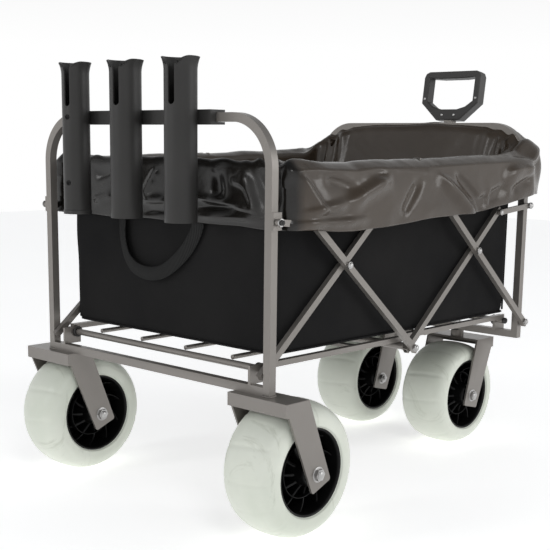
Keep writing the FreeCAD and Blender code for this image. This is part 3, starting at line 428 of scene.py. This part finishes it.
def tyre_profile(radius):
    """Round-shouldered section from bead to bead, closed along the rim."""
    side = [(p.x * TYRE_HALF, BEAD_RADIUS + min(p.y, 1.0) * (radius - BEAD_RADIUS))
            for p in smooth_path([(along, rise, 0) for along, rise in TYRE], 3)]
    outer = side + [(-along, r) for along, r in side[-2::-1]]
    return outer + [(0.92 * TYRE_HALF, BEAD_RADIUS - 0.0015), (-0.92 * TYRE_HALF, BEAD_RADIUS - 0.0015)]


def tread(angle, along, radius):
    """Shallow wavy channels over the crown and a mould line on each shoulder."""
    if radius < 0.080:
        return 0.0
    lobe = math.sin(angle * 13 + 10 * along + 1.3 * math.sin(angle * 2))
    channel = max(0.0, lobe - 0.93) / 0.07
    seam = math.exp(-((abs(along) - 0.028) / 0.0012) ** 2) * 0.00045
    return -0.0009 * channel - seam - 0.0003


def rib(centre, angle, side):
    """One tapered, curved spoke rib between the nave and the rim."""
    stations, corners = 9, 6
    rows = []
    for k in range(stations):
        f = k / (stations - 1)
        turn = angle + 0.55 * f * f * side
        depth = 0.031 - 0.009 * math.sin(f * math.pi)
        width = 0.0016 + 0.0008 * (1 - f)
        out = Vector((math.cos(turn), 0, math.sin(turn)))
        across = Vector((-math.sin(turn), 0, math.cos(turn)))
        middle = centre + out * (0.019 + f * 0.0405)
        for s, y in ((-1, 0.004), (-1, depth - 0.001), (-0.5, depth),
                     (0.5, depth), (1, depth - 0.001), (1, 0.004)):
            rows.append(middle + across * width * s + Vector((0, side * y, 0)))
    ends = [tuple(range(corners)), tuple(range(len(rows) - corners, len(rows)))]
    return rows, grid_faces(stations, corners, False, True) + ends


def spokes(name, centre, body):
    verts, faces = [], []
    for side in SIDES:
        for i in range(SPOKES):
            more, quads = rib(centre, 2 * math.pi * i / SPOKES + 0.1, side)
            faces += [tuple(len(verts) + v for v in face) for face in quads]
            verts += more
    bevel(make(f"{name} spokes", verts, faces, "hub_plastic", body), 0.0004, 2)


def wheel(name, body):
    """Balloon tyre on a hub with a rolled rim, a web, a nave, spokes and a round band on each face."""
    low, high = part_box(f"tyre_{name}")
    centre = (Vector(low) + Vector(high)) / 2
    radius = (high[2] - low[2]) / 2
    tyre = lathe(f"{name} tyre", tyre_profile(radius), centre, AXLE, "tyre_foam", body, 208, tread)
    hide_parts(f"tyre_{name}")
    rim = [(0.0, 0.059), (0.028, 0.0585), (0.0385, 0.0595), (0.0430, 0.0605), (0.0440, 0.0620),
           (0.0435, 0.0644), (0.0415, 0.0652), (0.0390, 0.0644), (0.0390, 0.0628), (0.0, 0.0626)]
    web = [(0.0045, 0.016), (0.0045, 0.034), (0.0075, 0.036), (0.0075, 0.040), (0.0045, 0.042),
           (0.0045, 0.0595)]
    nave = [(0.0, 0.0131), (0.0484, 0.0131), (0.0484, 0.0175), (0.0466, 0.0192), (0.0410, 0.0200),
            (0.0, 0.0225)]
    band = [(0.004, 0.0385), (0.0275, 0.0390), (0.0285, 0.0398), (0.0275, 0.0408), (0.004, 0.0412)]
    hub = lathe(f"{name} rim", mirrored(rim), centre, AXLE, "hub_plastic", body, 96)
    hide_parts(f"hub_{name}")
    lathe(f"{name} web", mirrored(web), centre, AXLE, "hub_plastic", body, 72)
    lathe(f"{name} nave", mirrored(nave), centre, AXLE, "hub_plastic", body, 64)
    spokes(name, centre, body)
    for side in SIDES:
        profile = [(side * along, r) for along, r in band]
        lathe(f"{name} band {side}", profile, centre, AXLE, "hub_plastic", body, 72)
    return centre


def axle_ends(name, centre, body):
    """Rounded tips and thin washers of the axle bolt, which reaches 3 mm further on its +Y side."""
    for side, tip in ((-1, 0.0612), (1, 0.0642)):
        out = Vector((0, side, 0))
        dome(f"{name} axle cap {side}", centre + out * tip, out, 0.0056, 0.0026, "zinc_steel", body, 1.1)
        dome(f"{name} axle washer {side}", centre + out * 0.0560, out, 0.0112, 0.0011, "zinc_steel", body,
             1.0)


for name in ("rear_right", "rear_left", "front_right", "front_left"):
    centre = wheel(name, f"wheel_{name}")
    axle_ends(name, centre, "rear_frame" if "rear" in name else name.replace("front", "caster"))


# ------------------------------------------------------- rivets and fittings

def rivet_heads(side, heads):
    """Domed heads on one side of the frame."""
    for name, x, y, z, radius, height, washer, body in heads:
        dome(f"{name} {side}", (x, side * y, z), (0, side, 0), radius, height, "zinc_steel", body, washer)


def rivets():
    """Heads on the pivots of the scissor bars and links, and a nut on each rear link."""
    half = MID - REAR
    slope = math.atan2(TOP_HUB_Z - FOOT_Z, half)
    cross_z = (TOP_HUB_Z + LOW_HUB_Z) / 2
    cross = half * (cross_z - FOOT_Z) / (TOP_HUB_Z - FOOT_Z)
    tail, tail_z = cross - TAIL * math.cos(slope), cross_z + TAIL * math.sin(slope)
    bars = (  # name, x, distance from the middle, z, radius, height, washer, body
        ("rear rivet", REAR + cross, 0.2496, cross_z, 0.0046, 0.0036, 1.2, "rear_long_bars"),
        ("front rivet", FRONT - cross, 0.2496, cross_z, 0.0046, 0.0036, 1.2, "front_short_bars"),
        ("top hub", MID, 0.2496, TOP_HUB_Z, 0.0046, 0.0036, 1.2, "rear_long_bars"),
        ("low hub", MID, 0.2496, LOW_HUB_Z, 0.0046, 0.0036, 1.2, "rear_short_bars"),
        ("front pivot", FRONT, 0.2496, FOOT_Z, 0.0046, 0.0036, 1.2, "front_frame"))
    links = (
        ("front link bolt", FRONT, 0.2471, LINK_Z, 0.0048, 0.0034, 1.2, "front_frame"),
        ("rear tail rivet", REAR + tail, 0.2615, tail_z, 0.0044, 0.0028, 1.15, "rear_links"),
        ("front tail rivet", FRONT - tail, 0.2445, tail_z, 0.0043, 0.0026, 1.15, "front_links"))
    for side in SIDES:
        rivet_heads(side, bars)
        hex_head(f"rear link nut {side}", (REAR, side * 0.2632, LINK_Z), (0, side, 0), 0.0086, 0.0036,
                 "rack_plastic", "rear_frame")
        rivet_heads(side, links)


def weld(name, centre, half, body):
    """Bead round a square foot."""
    corners = []
    for k in range(40):
        angle = 2 * math.pi * k / 40
        c, s = math.cos(angle), math.sin(angle)
        corners.append((centre[0] + math.copysign(abs(c) ** 0.35, c) * half,
                        centre[1] + math.copysign(abs(s) ** 0.35, s) * half,
                        centre[2] + 0.0004 * math.sin(angle * 17)))
    sweep(name, corners, ring(0.0016, 8), "frame_paint", body, closed=True)


def fittings():
    """Welds under the rear posts, and a bush and an end plug on each floor hinge."""
    bush = [(-0.0022, 0.0052), (-0.0022, 0.0078), (-0.0012, 0.0088), (0.0012, 0.0088),
            (0.0022, 0.0078), (0.0022, 0.0052)]
    plug = [(0, 0.0005), (0, 0.0052), (0.0040, 0.0056), (0.0058, 0.0046), (0.0064, 0.0005)]
    hinges = (("rear", REAR + 0.018, 0.207, 0.227), ("front", FRONT - 0.018, 0.194, 0.214))
    for side in SIDES:
        weld(f"rear post weld {side}", (REAR, side * 0.245, 0.2108), 0.0070, "rear_frame")
        for name, x, y, end in hinges:
            lathe(f"{name} floor bush {side}", bush, (x, side * y, FLOOR_Z), AXLE, "rack_plastic",
                  f"floor_{name}", 40)
            lathe(f"{name} end plug {side}", [(side * along, r) for along, r in plug],
                  (x, side * end, FLOOR_Z), AXLE, "rack_plastic", f"floor_{name}", 32)


rivets()
fittings()


# --------------------------------------------------------------- rod holders

# Heights over the holder's foot, and the way its slot and screws face from straight back.
HOLDER_HIGH = 0.224
FLARE_LOW = 0.206
SLOT_LOW, SLOT_HALF = 0.160, 0.0046
SCREW_HEIGHTS = (0.144, 0.047)
TURN = math.radians(13)


def holder_radius(z):
    """Outer radius from the foot up to the flared mouth."""
    flare = max(0.0, z - FLARE_LOW) / (HOLDER_HIGH - FLARE_LOW)
    return 0.02065 + 0.0038 * flare ** 1.8


def slot_opening(z, radius):
    """Half of the angle that the reel slot takes out of the wall: round-ended below, spread at the mouth."""
    opening = 0.0
    if z > SLOT_LOW:
        below = max(0.0, SLOT_LOW + SLOT_HALF - z)
        opening = math.asin(min(1.0, math.sqrt(max(0.0, SLOT_HALF ** 2 - below ** 2)) / radius))
    spread = max(0.0, z - (HOLDER_HIGH - 0.016)) / 0.016
    return opening + 0.42 * spread ** 2.2


def holder_shell(name, x, y, foot):
    heights = sorted(set(np.round(np.concatenate([
        np.linspace(0.0, 0.003, 4), np.linspace(0.006, 0.156, 16), np.linspace(0.157, 0.168, 14),
        np.linspace(0.172, HOLDER_HIGH, 16)]), 5)))
    columns = 73
    verts = []
    for z in heights:
        radius = holder_radius(z)
        opening = slot_opening(z, radius)
        for k in range(columns):
            angle = math.pi + TURN + opening + (2 * math.pi - 2 * opening) * k / (columns - 1)
            edge = min(k, columns - 1 - k) / (columns - 1)
            dip = -0.004 * max(0.0, 1 - edge * 9) ** 2 if z > HOLDER_HIGH - 0.004 else 0.0
            verts.append((x + radius * math.cos(angle), y + radius * math.sin(angle), foot + z + dip))
    tube = make(name + " shell", verts, grid_faces(len(heights), columns), "rack_plastic", None)
    wall = tube.modifiers.new("wall", "SOLIDIFY")
    wall.thickness = 0.0024
    wall.offset = -1.0
    wall.use_even_offset = True
    bevel(tube, 0.0007, 2, 50)
    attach(tube, "rear_frame")
    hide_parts(name)


def rod_holder(name):
    """Slotted tube with a floor, a ring round its foot and two near-black discs on its screw holes, painted
    shade in place of the recesses.
    """
    low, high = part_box(name)
    x, y, foot = REAR - 0.0383, (low[1] + high[1]) / 2, low[2]
    holder_shell(name, x, y, foot)
    floor = [(0.0, 0.004), (0.0, 0.0186), (0.003, 0.0186), (0.003, 0.004)]
    collar = [(0.0, 0.0195), (0.0, 0.02125), (0.0012, 0.0215), (0.0050, 0.0215), (0.0062, 0.0207),
              (0.0062, 0.0195)]
    hole_shade = [(-0.001, 0.0002), (0.0008, 0.0002), (0.0008, 0.0032), (0.0013, 0.0036), (0.0008, 0.0040),
            (-0.001, 0.0040)]
    lathe(name + " floor", floor, (x, y, foot + 0.0002), UPRIGHT, "rack_plastic", "rear_frame", 48)
    lathe(name + " foot ring", collar, (x, y, foot), UPRIGHT, "rack_plastic", "rear_frame", 64)
    face = Vector((-math.cos(TURN), -math.sin(TURN), 0))
    # Painted shade: a near-black disc sits flush on each screw hole instead of a recess.
    for height in SCREW_HEIGHTS:
        lathe(f"{name} screw well {height}", hole_shade, Vector((x, y, foot + height)) + face * 0.0200, face,
              "hub_plastic", "rear_frame", 28)


for name in ("rod_holder_right", "rod_holder_middle", "rod_holder_left"):
    rod_holder(name)


# ------------------------------------------------------------ D-grip details

def grip_screws():
    """Screw heads on both flat faces of the leaning grip."""
    lean = math.radians(8)
    up = Vector((math.sin(lean), 0, math.cos(lean)))
    back = Vector((-math.cos(lean), 0, math.sin(lean)))
    foot = Vector((FRONT + 0.048, 0, 0.222))
    for face in (1, -1):
        for y, along in ((-0.014, 0.389), (0.014, 0.389), (-0.0585, 0.421), (0.0585, 0.421)):
            centre = foot + up * along + back * (face * 0.0109) + Vector((0, y, 0))
            dome(f"grip screw {face} {y}", centre, back * face, 0.0024, 0.0010, "zinc_steel",
                              "handle_upper", 1.1)
    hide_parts("grip_screws")


grip_screws()


# ----------------------------------------------------------------- soft goods

# Half widths of the tub and of the film inside it, and how far each stands in from the hoops.
TUB_HALF, TUB_INSET = 0.2215, 0.0325
FILM_HALF, FILM_INSET = 0.2175, 0.0365


def path_lengths(points):
    """Coordinates of a plan's points, and the length of the path up to each of them."""
    xs, ys = np.array(points).T
    return xs, ys, np.concatenate([[0], np.cumsum(np.hypot(np.diff(xs), np.diff(ys)))])


def rounded_loop(inset, y, radius, count):
    """Points evenly spaced round a rectangle with round corners, from the rear middle."""
    x0, x1 = REAR + inset, FRONT - inset
    arcs = []
    corners = ((x0 + radius, -y + radius, math.pi), (x1 - radius, -y + radius, 1.5 * math.pi),
               (x1 - radius, y - radius, 0.0), (x0 + radius, y - radius, 0.5 * math.pi))
    for cx, cy, start in corners:
        for k in range(9):
            a = start + k / 8 * math.pi / 2
            arcs.append((cx + radius * math.cos(a), cy + radius * math.sin(a)))
    xs, ys, lengths = path_lengths([(x0, 0.0)] + arcs + [(x0, 0.0)])
    at = np.linspace(0, lengths[-1], count, endpoint=False)
    return np.interp(at, lengths, xs), np.interp(at, lengths, ys)


def outward(x, y, side):
    """Level direction out of a side wall, or out of an end wall."""
    return Vector((0, math.copysign(1, y), 0)) if side else Vector((math.copysign(1, x - MID), 0, 0))


def skin(obj, thickness):
    """Gives cloth its thickness and makes it final."""
    mod = obj.modifiers.new("skin", "SOLIDIFY")
    mod.thickness = thickness
    mod.offset = 0.0
    deps = bpy.context.evaluated_depsgraph_get()
    obj.data = bpy.data.meshes.new_from_object(obj.evaluated_get(deps))
    obj.modifiers.clear()


def fold_away(obj):
    """Carries cloth with the rear frame, on a mesh of its own."""
    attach(obj, "rear_frame")
    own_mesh(obj)


def tub_wall(x, y, z, side):
    """Point of a tub wall, pushed out by sag and by soft folds."""
    rise = (z - 0.266) / 0.246
    sag = 0.0022 * math.sin(math.pi * rise) * (1 if side else 0.6)
    fold = 0.0030 * wave(x, y, z * 0.55, 9, 1.0) + 0.0014 * wave(x * 1.5, y * 1.5, z, 21, 7.0)
    diagonal = 0.0018 * wave(x + z, y, (z - x) * 0.3, 16, 11.0)
    push = sag + (fold + diagonal) * min(1.0, 6 * rise + 0.2)
    push = max(-0.006, min(0.0042, push))
    return Vector((x, y, z)) + outward(x, y, side) * push * (1.0 if side else 0.7)


def tub_trim(x, y):
    """Piping round the foot and the top, and a seam up each corner."""
    pieces = []
    for z, radius in ((0.2612, 0.0016), (0.5105, 0.0020)):
        path = [(px + math.copysign(0.0012, px - MID) * (abs(px - MID) > 0.31),
                 py + math.copysign(0.0012, py) * (abs(py) > 0.21), z) for px, py in zip(x, y)]
        pieces.append(sweep(f"tub piping {z}", path, ring(radius, 8), "tub_fabric", None, closed=True))
    for sx in SIDES:
        end = REAR + 0.0355 if sx < 0 else FRONT - 0.0355
        for sy in SIDES:
            path = [(end + sx * 0.0004, sy * 0.2200, z) for z in np.linspace(0.264, 0.510, 30)]
            pieces.append(sweep(f"tub corner seam {sx} {sy}", path, ring(0.0017, 8), "tub_fabric", None,
                                up=(1, 0, 0)))
    return pieces


def tub():
    """Open box of cloth on the floor rods, 3.5% wider on its +Y side."""
    count = 260
    x, y = rounded_loop(TUB_INSET, TUB_HALF, 0.014, count)
    rings = [(0.2588, f) for f in np.linspace(0.04, 0.94, 16)]
    rings += [(0.2591, 0.965), (0.2603, 0.985), (0.2638, 0.996), (0.270, 1.0)]
    rings += [(z, 1.0) for z in np.linspace(0.280, 0.512, 32)]
    verts = []
    for z, share in rings:
        for i in range(count):
            px, py = MID + (x[i] - MID) * share, y[i] * share * (1.035 if y[i] > 0 else 1.0)
            if share < 0.99:
                verts.append((px, py, z + abs(0.0010 * wave(px, py, 0, 14, 3.0))))
            else:
                verts.append(tub_wall(px, py, z, abs(y[i]) > 0.2))
    faces = grid_faces(len(rings), count, False, True) + [tuple(range(count))]
    cloth = make("tub cloth", verts, faces, "tub_fabric", None)
    skin(cloth, 0.0013)
    trim = tub_trim(x, y)
    for piece in [cloth] + trim:
        fold_away(piece)
    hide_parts("tub_rear_panel", "tub_front_panel", "tub_sides_and_base")


def blend_to(value, start, end):
    f = min(1.0, max(0.0, (value - start) / (end - start)))
    return f * f * (3 - 2 * f)


SIDE_FOLDS = (  # x, z of both ends, width, height
    (-0.341, 0.523, -0.289, 0.462, 0.010, 0.0060), (-0.324, 0.458, -0.227, 0.474, 0.009, 0.0050),
    (-0.227, 0.474, -0.142, 0.506, 0.013, 0.0070), (-0.203, 0.525, -0.146, 0.509, 0.007, -0.0040),
    (-0.062, 0.496, -0.100, 0.449, 0.010, -0.0045), (-0.010, 0.504, 0.088, 0.442, 0.012, 0.0075),
    (0.038, 0.506, 0.098, 0.467, 0.008, -0.0055), (0.093, 0.458, 0.175, 0.482, 0.013, -0.0055),
    (0.132, 0.479, 0.128, 0.457, 0.006, 0.0040), (-0.339, 0.444, -0.199, 0.447, 0.007, 0.0050),
    (0.179, 0.501, 0.266, 0.534, 0.018, 0.0060), (-0.135, 0.525, -0.020, 0.512, 0.010, 0.0040),
    (0.200, 0.478, 0.262, 0.500, 0.010, -0.0045), (-0.275, 0.505, -0.215, 0.490, 0.009, -0.0040))
NEAR_FOLDS = (  # y, z of both ends, width, height
    (0.157, 0.458, 0.112, 0.469, 0.007, 0.0040), (0.040, 0.463, -0.018, 0.466, 0.007, 0.0040),
    (0.040, 0.447, -0.018, 0.450, 0.006, -0.0030), (-0.083, 0.472, -0.195, 0.460, 0.007, 0.0045),
    (-0.083, 0.460, -0.164, 0.464, 0.006, -0.0035), (-0.092, 0.446, -0.207, 0.449, 0.008, 0.0040),
    (-0.100, 0.531, -0.116, 0.512, 0.007, 0.0045), (-0.116, 0.512, -0.144, 0.535, 0.007, 0.0045),
    (0.002, 0.529, 0.021, 0.500, 0.007, 0.0040), (0.021, 0.500, 0.040, 0.472, 0.008, 0.0040),
    (0.155, 0.514, 0.115, 0.530, 0.007, 0.0040), (0.151, 0.493, 0.111, 0.506, 0.008, -0.0040),
    (-0.164, 0.522, -0.195, 0.460, 0.009, 0.0045), (-0.110, 0.485, -0.130, 0.487, 0.020, -0.0040),
    (-0.205, 0.520, -0.238, 0.470, 0.010, -0.0040), (-0.150, 0.500, -0.185, 0.492, 0.008, 0.0035))


def crease(u, v, fold):
    """Height of one fold of the film: a ridge that fades at its ends and falls faster on its upper side."""
    ua, va, ub, vb, width, height = fold
    du, dv = ub - ua, vb - va
    length = math.hypot(du, dv)
    along = ((u - ua) * du + (v - va) * dv) / length
    across = ((v - va) * du - (u - ua) * dv) / length
    reach = min(along, length - along) / max(0.012, 0.3 * length)
    fade = blend_to(reach, -0.6, 0.8)
    width *= 0.62 if across > 0 else 1.15
    return height * fade * math.exp(-(across / width) ** 2)


def film_rim(x, y):
    """How near a place is to the rear and front ends, and the heights of the film's rim and hem there."""
    near = blend_to(-x, -REAR - 0.075, -REAR - 0.045) if abs(y) < 0.245 else 0.0
    far = blend_to(x, FRONT - 0.085, FRONT - 0.040)
    side = [(-0.376, 0.538), (-0.345, 0.530), (-0.276, 0.531), (-0.202, 0.528), (-0.161, 0.531),
            (-0.043, 0.532), (0.064, 0.536), (0.246, 0.541), (0.330, 0.545)]
    arch = [(0.0, 0.594), (0.100, 0.592), (0.150, 0.587), (0.187, 0.577), (0.212, 0.562), (0.228, 0.550),
            (0.270, 0.541)]
    rim = np.interp(x, *zip(*side))
    rim += far * (np.interp(abs(y), *zip(*arch)) - rim)
    hem = np.interp(x, (-0.376, -0.277, -0.161, -0.027, 0.065, 0.184, 0.277),
                    (0.438, 0.432, 0.432, 0.439, 0.444, 0.453, 0.468))
    return near, far, rim, hem


def film_inside(loop):
    """Base and walls of the film, up to just under its rim."""
    verts = []
    for share in np.linspace(0.05, 0.96, 10):
        for x, y in loop:
            px, py = MID + (x - MID) * share, y * share
            verts.append((px, py, 0.2632 + 0.0025 * abs(wave(px, py, 0, 12, 5.0))))
    for t in np.linspace(0.0, 1.0, 34):
        for x, y in loop:
            near, far, rim = film_rim(x, y)[:3]
            z = 0.2695 + t * (rim - 0.2795)
            lean = far * 0.022 * max(0.0, (z - 0.50) / 0.085)
            verts.append(crumple(Vector((x + lean, y, z)), y, "inside", t, near))
    return verts


def film_over(loop, cuff):
    """The film's way over the bars, from the top of its walls to the top of its cuff."""
    verts = []
    for t in np.linspace(0.0, 1.0, 12)[1:]:
        for (x, y), (cuff_x, cuff_y) in zip(loop, cuff):
            near, far, rim = film_rim(x, y)[:3]
            start = x + far * 0.022 * max(0.0, (rim - 0.51) / 0.085)
            z = rim - 0.010 + 0.010 * math.sin(t * math.pi) - 0.004 * t
            place = Vector((start + (cuff_x - start) * t, y + (cuff_y - y) * t, z))
            verts.append(crumple(place, y, "rim", t, near))
    return verts


def film_cuff(loop, cuff):
    """The hanging cuff, down to its hem."""
    verts = []
    for t in np.linspace(0.0, 1.0, 40)[1:]:
        for (x, y), (cuff_x, cuff_y) in zip(loop, cuff):
            near, _, _, hem = film_rim(cuff_x, cuff_y)
            start = film_rim(x, y)[2] - 0.014
            z = start + t * (hem - start)
            flare = 0.0035 * math.sin(t * math.pi * 0.8) * (1.0 if abs(cuff_y) > 0.25 else 0.2)
            place = Vector((cuff_x, cuff_y + math.copysign(flare, cuff_y), z))
            verts.append(crumple(place, y, "cuff", t, near))
    return verts


def liner():
    """Loose film that lines the tub and hangs over its rim."""
    count = 560
    loop = list(zip(*rounded_loop(FILM_INSET, FILM_HALF, 0.020, count)))
    cuff = list(zip(*cuff_loop(count)))
    verts = film_inside(loop) + film_over(loop, cuff) + film_cuff(loop, cuff)
    faces = grid_faces(len(verts) // count, count, False, True) + [tuple(range(count))]
    film = make("liner film", verts, faces, "liner_film", None)
    skin(film, 0.0006)
    fold_away(film)
    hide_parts("liner")


def cuff_loop(count):
    """Plan of the hanging cuff: inside the rear hoop, outside the bars and round the front hoop."""
    rear = ((0.0215, 0.0), (0.0215, -0.10), (0.021, -0.19), (0.0225, -0.222), (0.020, -0.2330),
            (0.0180, -0.2450), (0.0195, -0.2590), (0.034, -0.2655), (0.07, -0.2665), (0.20, -0.2665),
            (0.40, -0.2665))
    front = ((-0.06, -0.2655), (-0.020, -0.2610), (0.010, -0.2520), (0.0245, -0.2380), (0.0262, -0.215),
             (0.0262, -0.15), (0.0262, 0.0))
    plan = [(REAR + x, y, 0) for x, y in rear] + [(FRONT + x, y, 0) for x, y in front]
    path = smooth_path(plan, 14)
    xs, ys, lengths = path_lengths([(p.x, p.y) for p in path] + [(p.x, -p.y) for p in reversed(path[:-1])])
    half_x, half_y = (FRONT - REAR - 2 * FILM_INSET) / 2, FILM_HALF
    perimeter = 4 * (half_x + half_y)
    rear_corner = lengths[np.argmin(np.hypot(xs - (REAR + 0.0195), ys + 0.259))]
    front_corner = lengths[np.argmin(np.hypot(xs - (FRONT + 0.018), ys + 0.245))]
    # The corners of the cuff stand beside the corners of the film's walls, whatever the lengths between.
    inner = [0.0, half_y / perimeter, (half_y + 2 * half_x) / perimeter, 0.5]
    outer = [0.0, rear_corner, front_corner, lengths[-1] / 2]
    inner += [1 - k for k in reversed(inner[:-1])]
    outer += [lengths[-1] - k for k in reversed(outer[:-1])]
    at = np.interp(np.arange(count) / count, inner, outer)
    x, y = np.interp(at, lengths, xs), np.interp(at, lengths, ys)
    bulge = np.exp(-((x - REAR - 0.040) / 0.045) ** 2) * np.clip((y - 0.258) / 0.006, 0, 1)
    return x, y + 0.010 * bulge


def cuff_push(p, side, t, near, soft, gather):
    """How far the folds push a point of the cuff out: on a side, on the rear end or on the front end."""
    if side:
        mirror_x = p.x if p.y < 0 else -0.06 - p.x
        amount = soft + sum(crease(mirror_x, p.z, fold) for fold in SIDE_FOLDS)
        amount += 0.0038 * gather * (1 - 0.6 * t)
        return max(-0.0060, min(0.0110, 1.35 * amount))
    if near > 0.3:
        amount = 0.6 * soft + 1.3 * sum(crease(p.y, p.z, fold) for fold in NEAR_FOLDS)
        amount += 0.0010 * wave(p.y * 0.6, p.z * 1.7, 0, 30, 31.0)
        return max(-0.0050, min(0.0055, amount))
    return soft + 0.0022 * gather


def crumple(p, row_y, zone, t, near):
    """Moves a point of the film by the folds that suit its place."""
    side = abs(p.y) > (0.2 if zone == "inside" else 0.25)
    out = outward(p.x, p.y, side)
    corner = math.exp(-((abs(row_y) - FILM_HALF) / 0.045) ** 2)
    corner *= math.exp(-((abs(p.x - MID) - 0.31) / 0.06) ** 2)
    pleat = math.sin(p.y * 210 + 3.0 * wave(p.x, p.y, p.z, 17, 3.0) + 1.5 * math.copysign(1, p.x - MID))
    soft = 0.0016 * wave(p.x + p.z * 0.6, p.y, p.z - p.x * 0.5, 13, 2.0)
    soft += 0.0006 * wave(p.x, p.y, p.z, 40, 8.0)
    if zone == "rim":
        lift = 0.0055 * pleat * corner + 1.4 * soft + 0.0030 * near * wave(p.x, p.y, 0, 34, 21.0)
        p.z += lift * math.sin(math.pi * min(1, t * 0.8 + 0.15))
    elif zone == "inside":
        amount = soft * (1 - 0.6 * abs(t - 0.5)) + 0.011 * corner * max(0.0, t - 0.2) * (pleat - 0.9)
        p += out * min(0.0012, amount) * min(1.0, t * 8)
    else:
        p += out * cuff_push(p, side, t, near, soft, corner * pleat) * min(1.0, t * 6)
        p.z += t ** 3 * 0.0045 * wave(p.x, p.y, 0, 12, 15.0)
    return p


def strap():
    """Webbing loop hung from the rear panel."""
    hang = ((0.0285, 0.094, 0.470), (0.0260, 0.096, 0.440), (0.0235, 0.094, 0.405),
            (0.0220, 0.082, 0.375), (0.0220, 0.062, 0.3585), (0.0215, 0.030, 0.3530),
            (0.0215, -0.002, 0.3590), (0.0220, -0.034, 0.378), (0.0230, -0.060, 0.403),
            (0.0245, -0.076, 0.432), (0.0280, -0.080, 0.470))
    # Outline of the webbing's section: across it, and out of its face.
    section = ((-0.0105, 0.0), (-0.0098, 0.0010), (0.0, 0.0013), (0.0098, 0.0010), (0.0105, 0.0),
               (0.0098, -0.0009), (0.0, -0.0011), (-0.0098, -0.0009))
    corners = len(section)
    spine = smooth_path([(REAR + x, y, z) for x, y, z in hang], 8)
    verts = []
    for i, p in enumerate(spine):
        before, after = spine[max(i - 1, 0)], spine[min(i + 1, len(spine) - 1)]
        along = (after - before).normalized()
        twist = 0.5 * math.sin(i / (len(spine) - 1) * math.pi * 2)
        face = Vector((-math.cos(twist), math.sin(twist) * 0.6, 0))
        side = along.cross(face).normalized()
        face = side.cross(along).normalized()
        verts += [p + side * across + face * rise for across, rise in section]
    ends = [tuple(range(corners)), tuple(range(len(verts) - corners, len(verts)))]
    faces = grid_faces(len(spine), corners, False, True) + ends
    band = make("carry strap webbing", verts, faces, "webbing", "rear_frame")
    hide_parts("carry_strap")


tub()
liner()
strap()


# ---------------------------------------------------- floor, light and camera

# Size of the picture in pixels and of the camera's sensor in millimetres.
PICTURE, SENSOR = 550, 36


def backdrop():
    """Pale floor under the wheels."""
    count = 13
    ticks = np.linspace(-6, 6, count)
    mesh = bpy.data.meshes.new("studio floor")
    mesh.from_pydata([(x, y, -0.0004) for x in ticks for y in ticks], [], grid_faces(count, count))
    floor = bpy.data.objects.new("studio floor", mesh)
    bpy.context.scene.collection.objects.link(floor)
    n = Nodes("studio floor")
    mesh.materials.append(n.set(Base_Color=n.ramp(n.noise(1.5, 2), grey(0.90), grey(0.93)), Roughness=0.85,
                                Emission_Color=rgb(1, 1, 1), Emission_Strength=0.55))


def area_light(name, place, target, size, power):
    data = bpy.data.lights.new(name, "AREA")
    data.shape = "RECTANGLE"
    data.size, data.size_y = size
    data.energy = power
    obj = bpy.data.objects.new(name, data)
    bpy.context.scene.collection.objects.link(obj)
    obj.location = place
    obj.rotation_euler = (Vector(target) - Vector(place)).to_track_quat("-Z", "Y").to_euler()


def lights():
    """Sky that is white at the horizon and darkens overhead, and three soft lamps."""
    world = bpy.data.worlds.new("studio")
    bpy.context.scene.world = world
    world.use_nodes = True
    tree = world.node_tree
    place = tree.nodes.new("ShaderNodeSeparateXYZ")
    tree.links.new(tree.nodes.new("ShaderNodeTexCoord").outputs["Generated"], place.inputs[0])
    fall = tree.nodes.new("ShaderNodeValToRGB")
    low, high = fall.color_ramp.elements
    low.position, low.color = 0.08, rgb(1.0, 1.0, 1.0)
    high.position, high.color = 0.85, rgb(0.16, 0.17, 0.18)
    tree.links.new(place.outputs["Z"], fall.inputs["Fac"])
    tree.links.new(fall.outputs["Color"], tree.nodes["Background"].inputs["Color"])
    tree.nodes["Background"].inputs["Strength"].default_value = 1.0
    area_light("key", (-1.6, -2.4, 2.6), (0, 0, 0.45), (0.9, 0.9), 16)
    area_light("side", (1.4, -2.4, 1.0), (0, 0, 0.40), (0.7, 1.4), 12)
    area_light("rim", (-2.6, 0.8, 1.4), (-0.2, 0, 0.4), (0.5, 1.2), 10)


def camera():
    """The photo's camera: angles in radians, and its focal length and upward shift in pixels."""
    yaw, pitch, roll, focal, rise = 0.7498, 0.1875, 0.0133, 1097.8, 75
    place = (-1.43028, -1.24824, 0.55292)
    data = bpy.data.cameras.new("camera")
    cam = bpy.data.objects.new("camera", data)
    bpy.context.scene.collection.objects.link(cam)
    bpy.context.scene.camera = cam
    ahead = Vector((math.cos(pitch) * math.cos(yaw), math.cos(pitch) * math.sin(yaw), -math.sin(pitch)))
    right = Vector((math.sin(yaw), -math.cos(yaw), 0))
    up = right.cross(ahead)
    side = math.cos(roll) * right + math.sin(roll) * up
    top = -math.sin(roll) * right + math.cos(roll) * up
    rows = [(s, u, -a, at) for s, u, a, at in zip(side, top, ahead, place)]
    cam.matrix_world = Matrix(rows + [(0, 0, 0, 1)])
    data.sensor_width = SENSOR
    data.lens = focal / PICTURE * SENSOR
    data.shift_y = rise / PICTURE
    data.clip_start, data.clip_end = 0.05, 50


backdrop()
lights()
camera()
bpy.context.scene.view_settings.view_transform = "Standard"
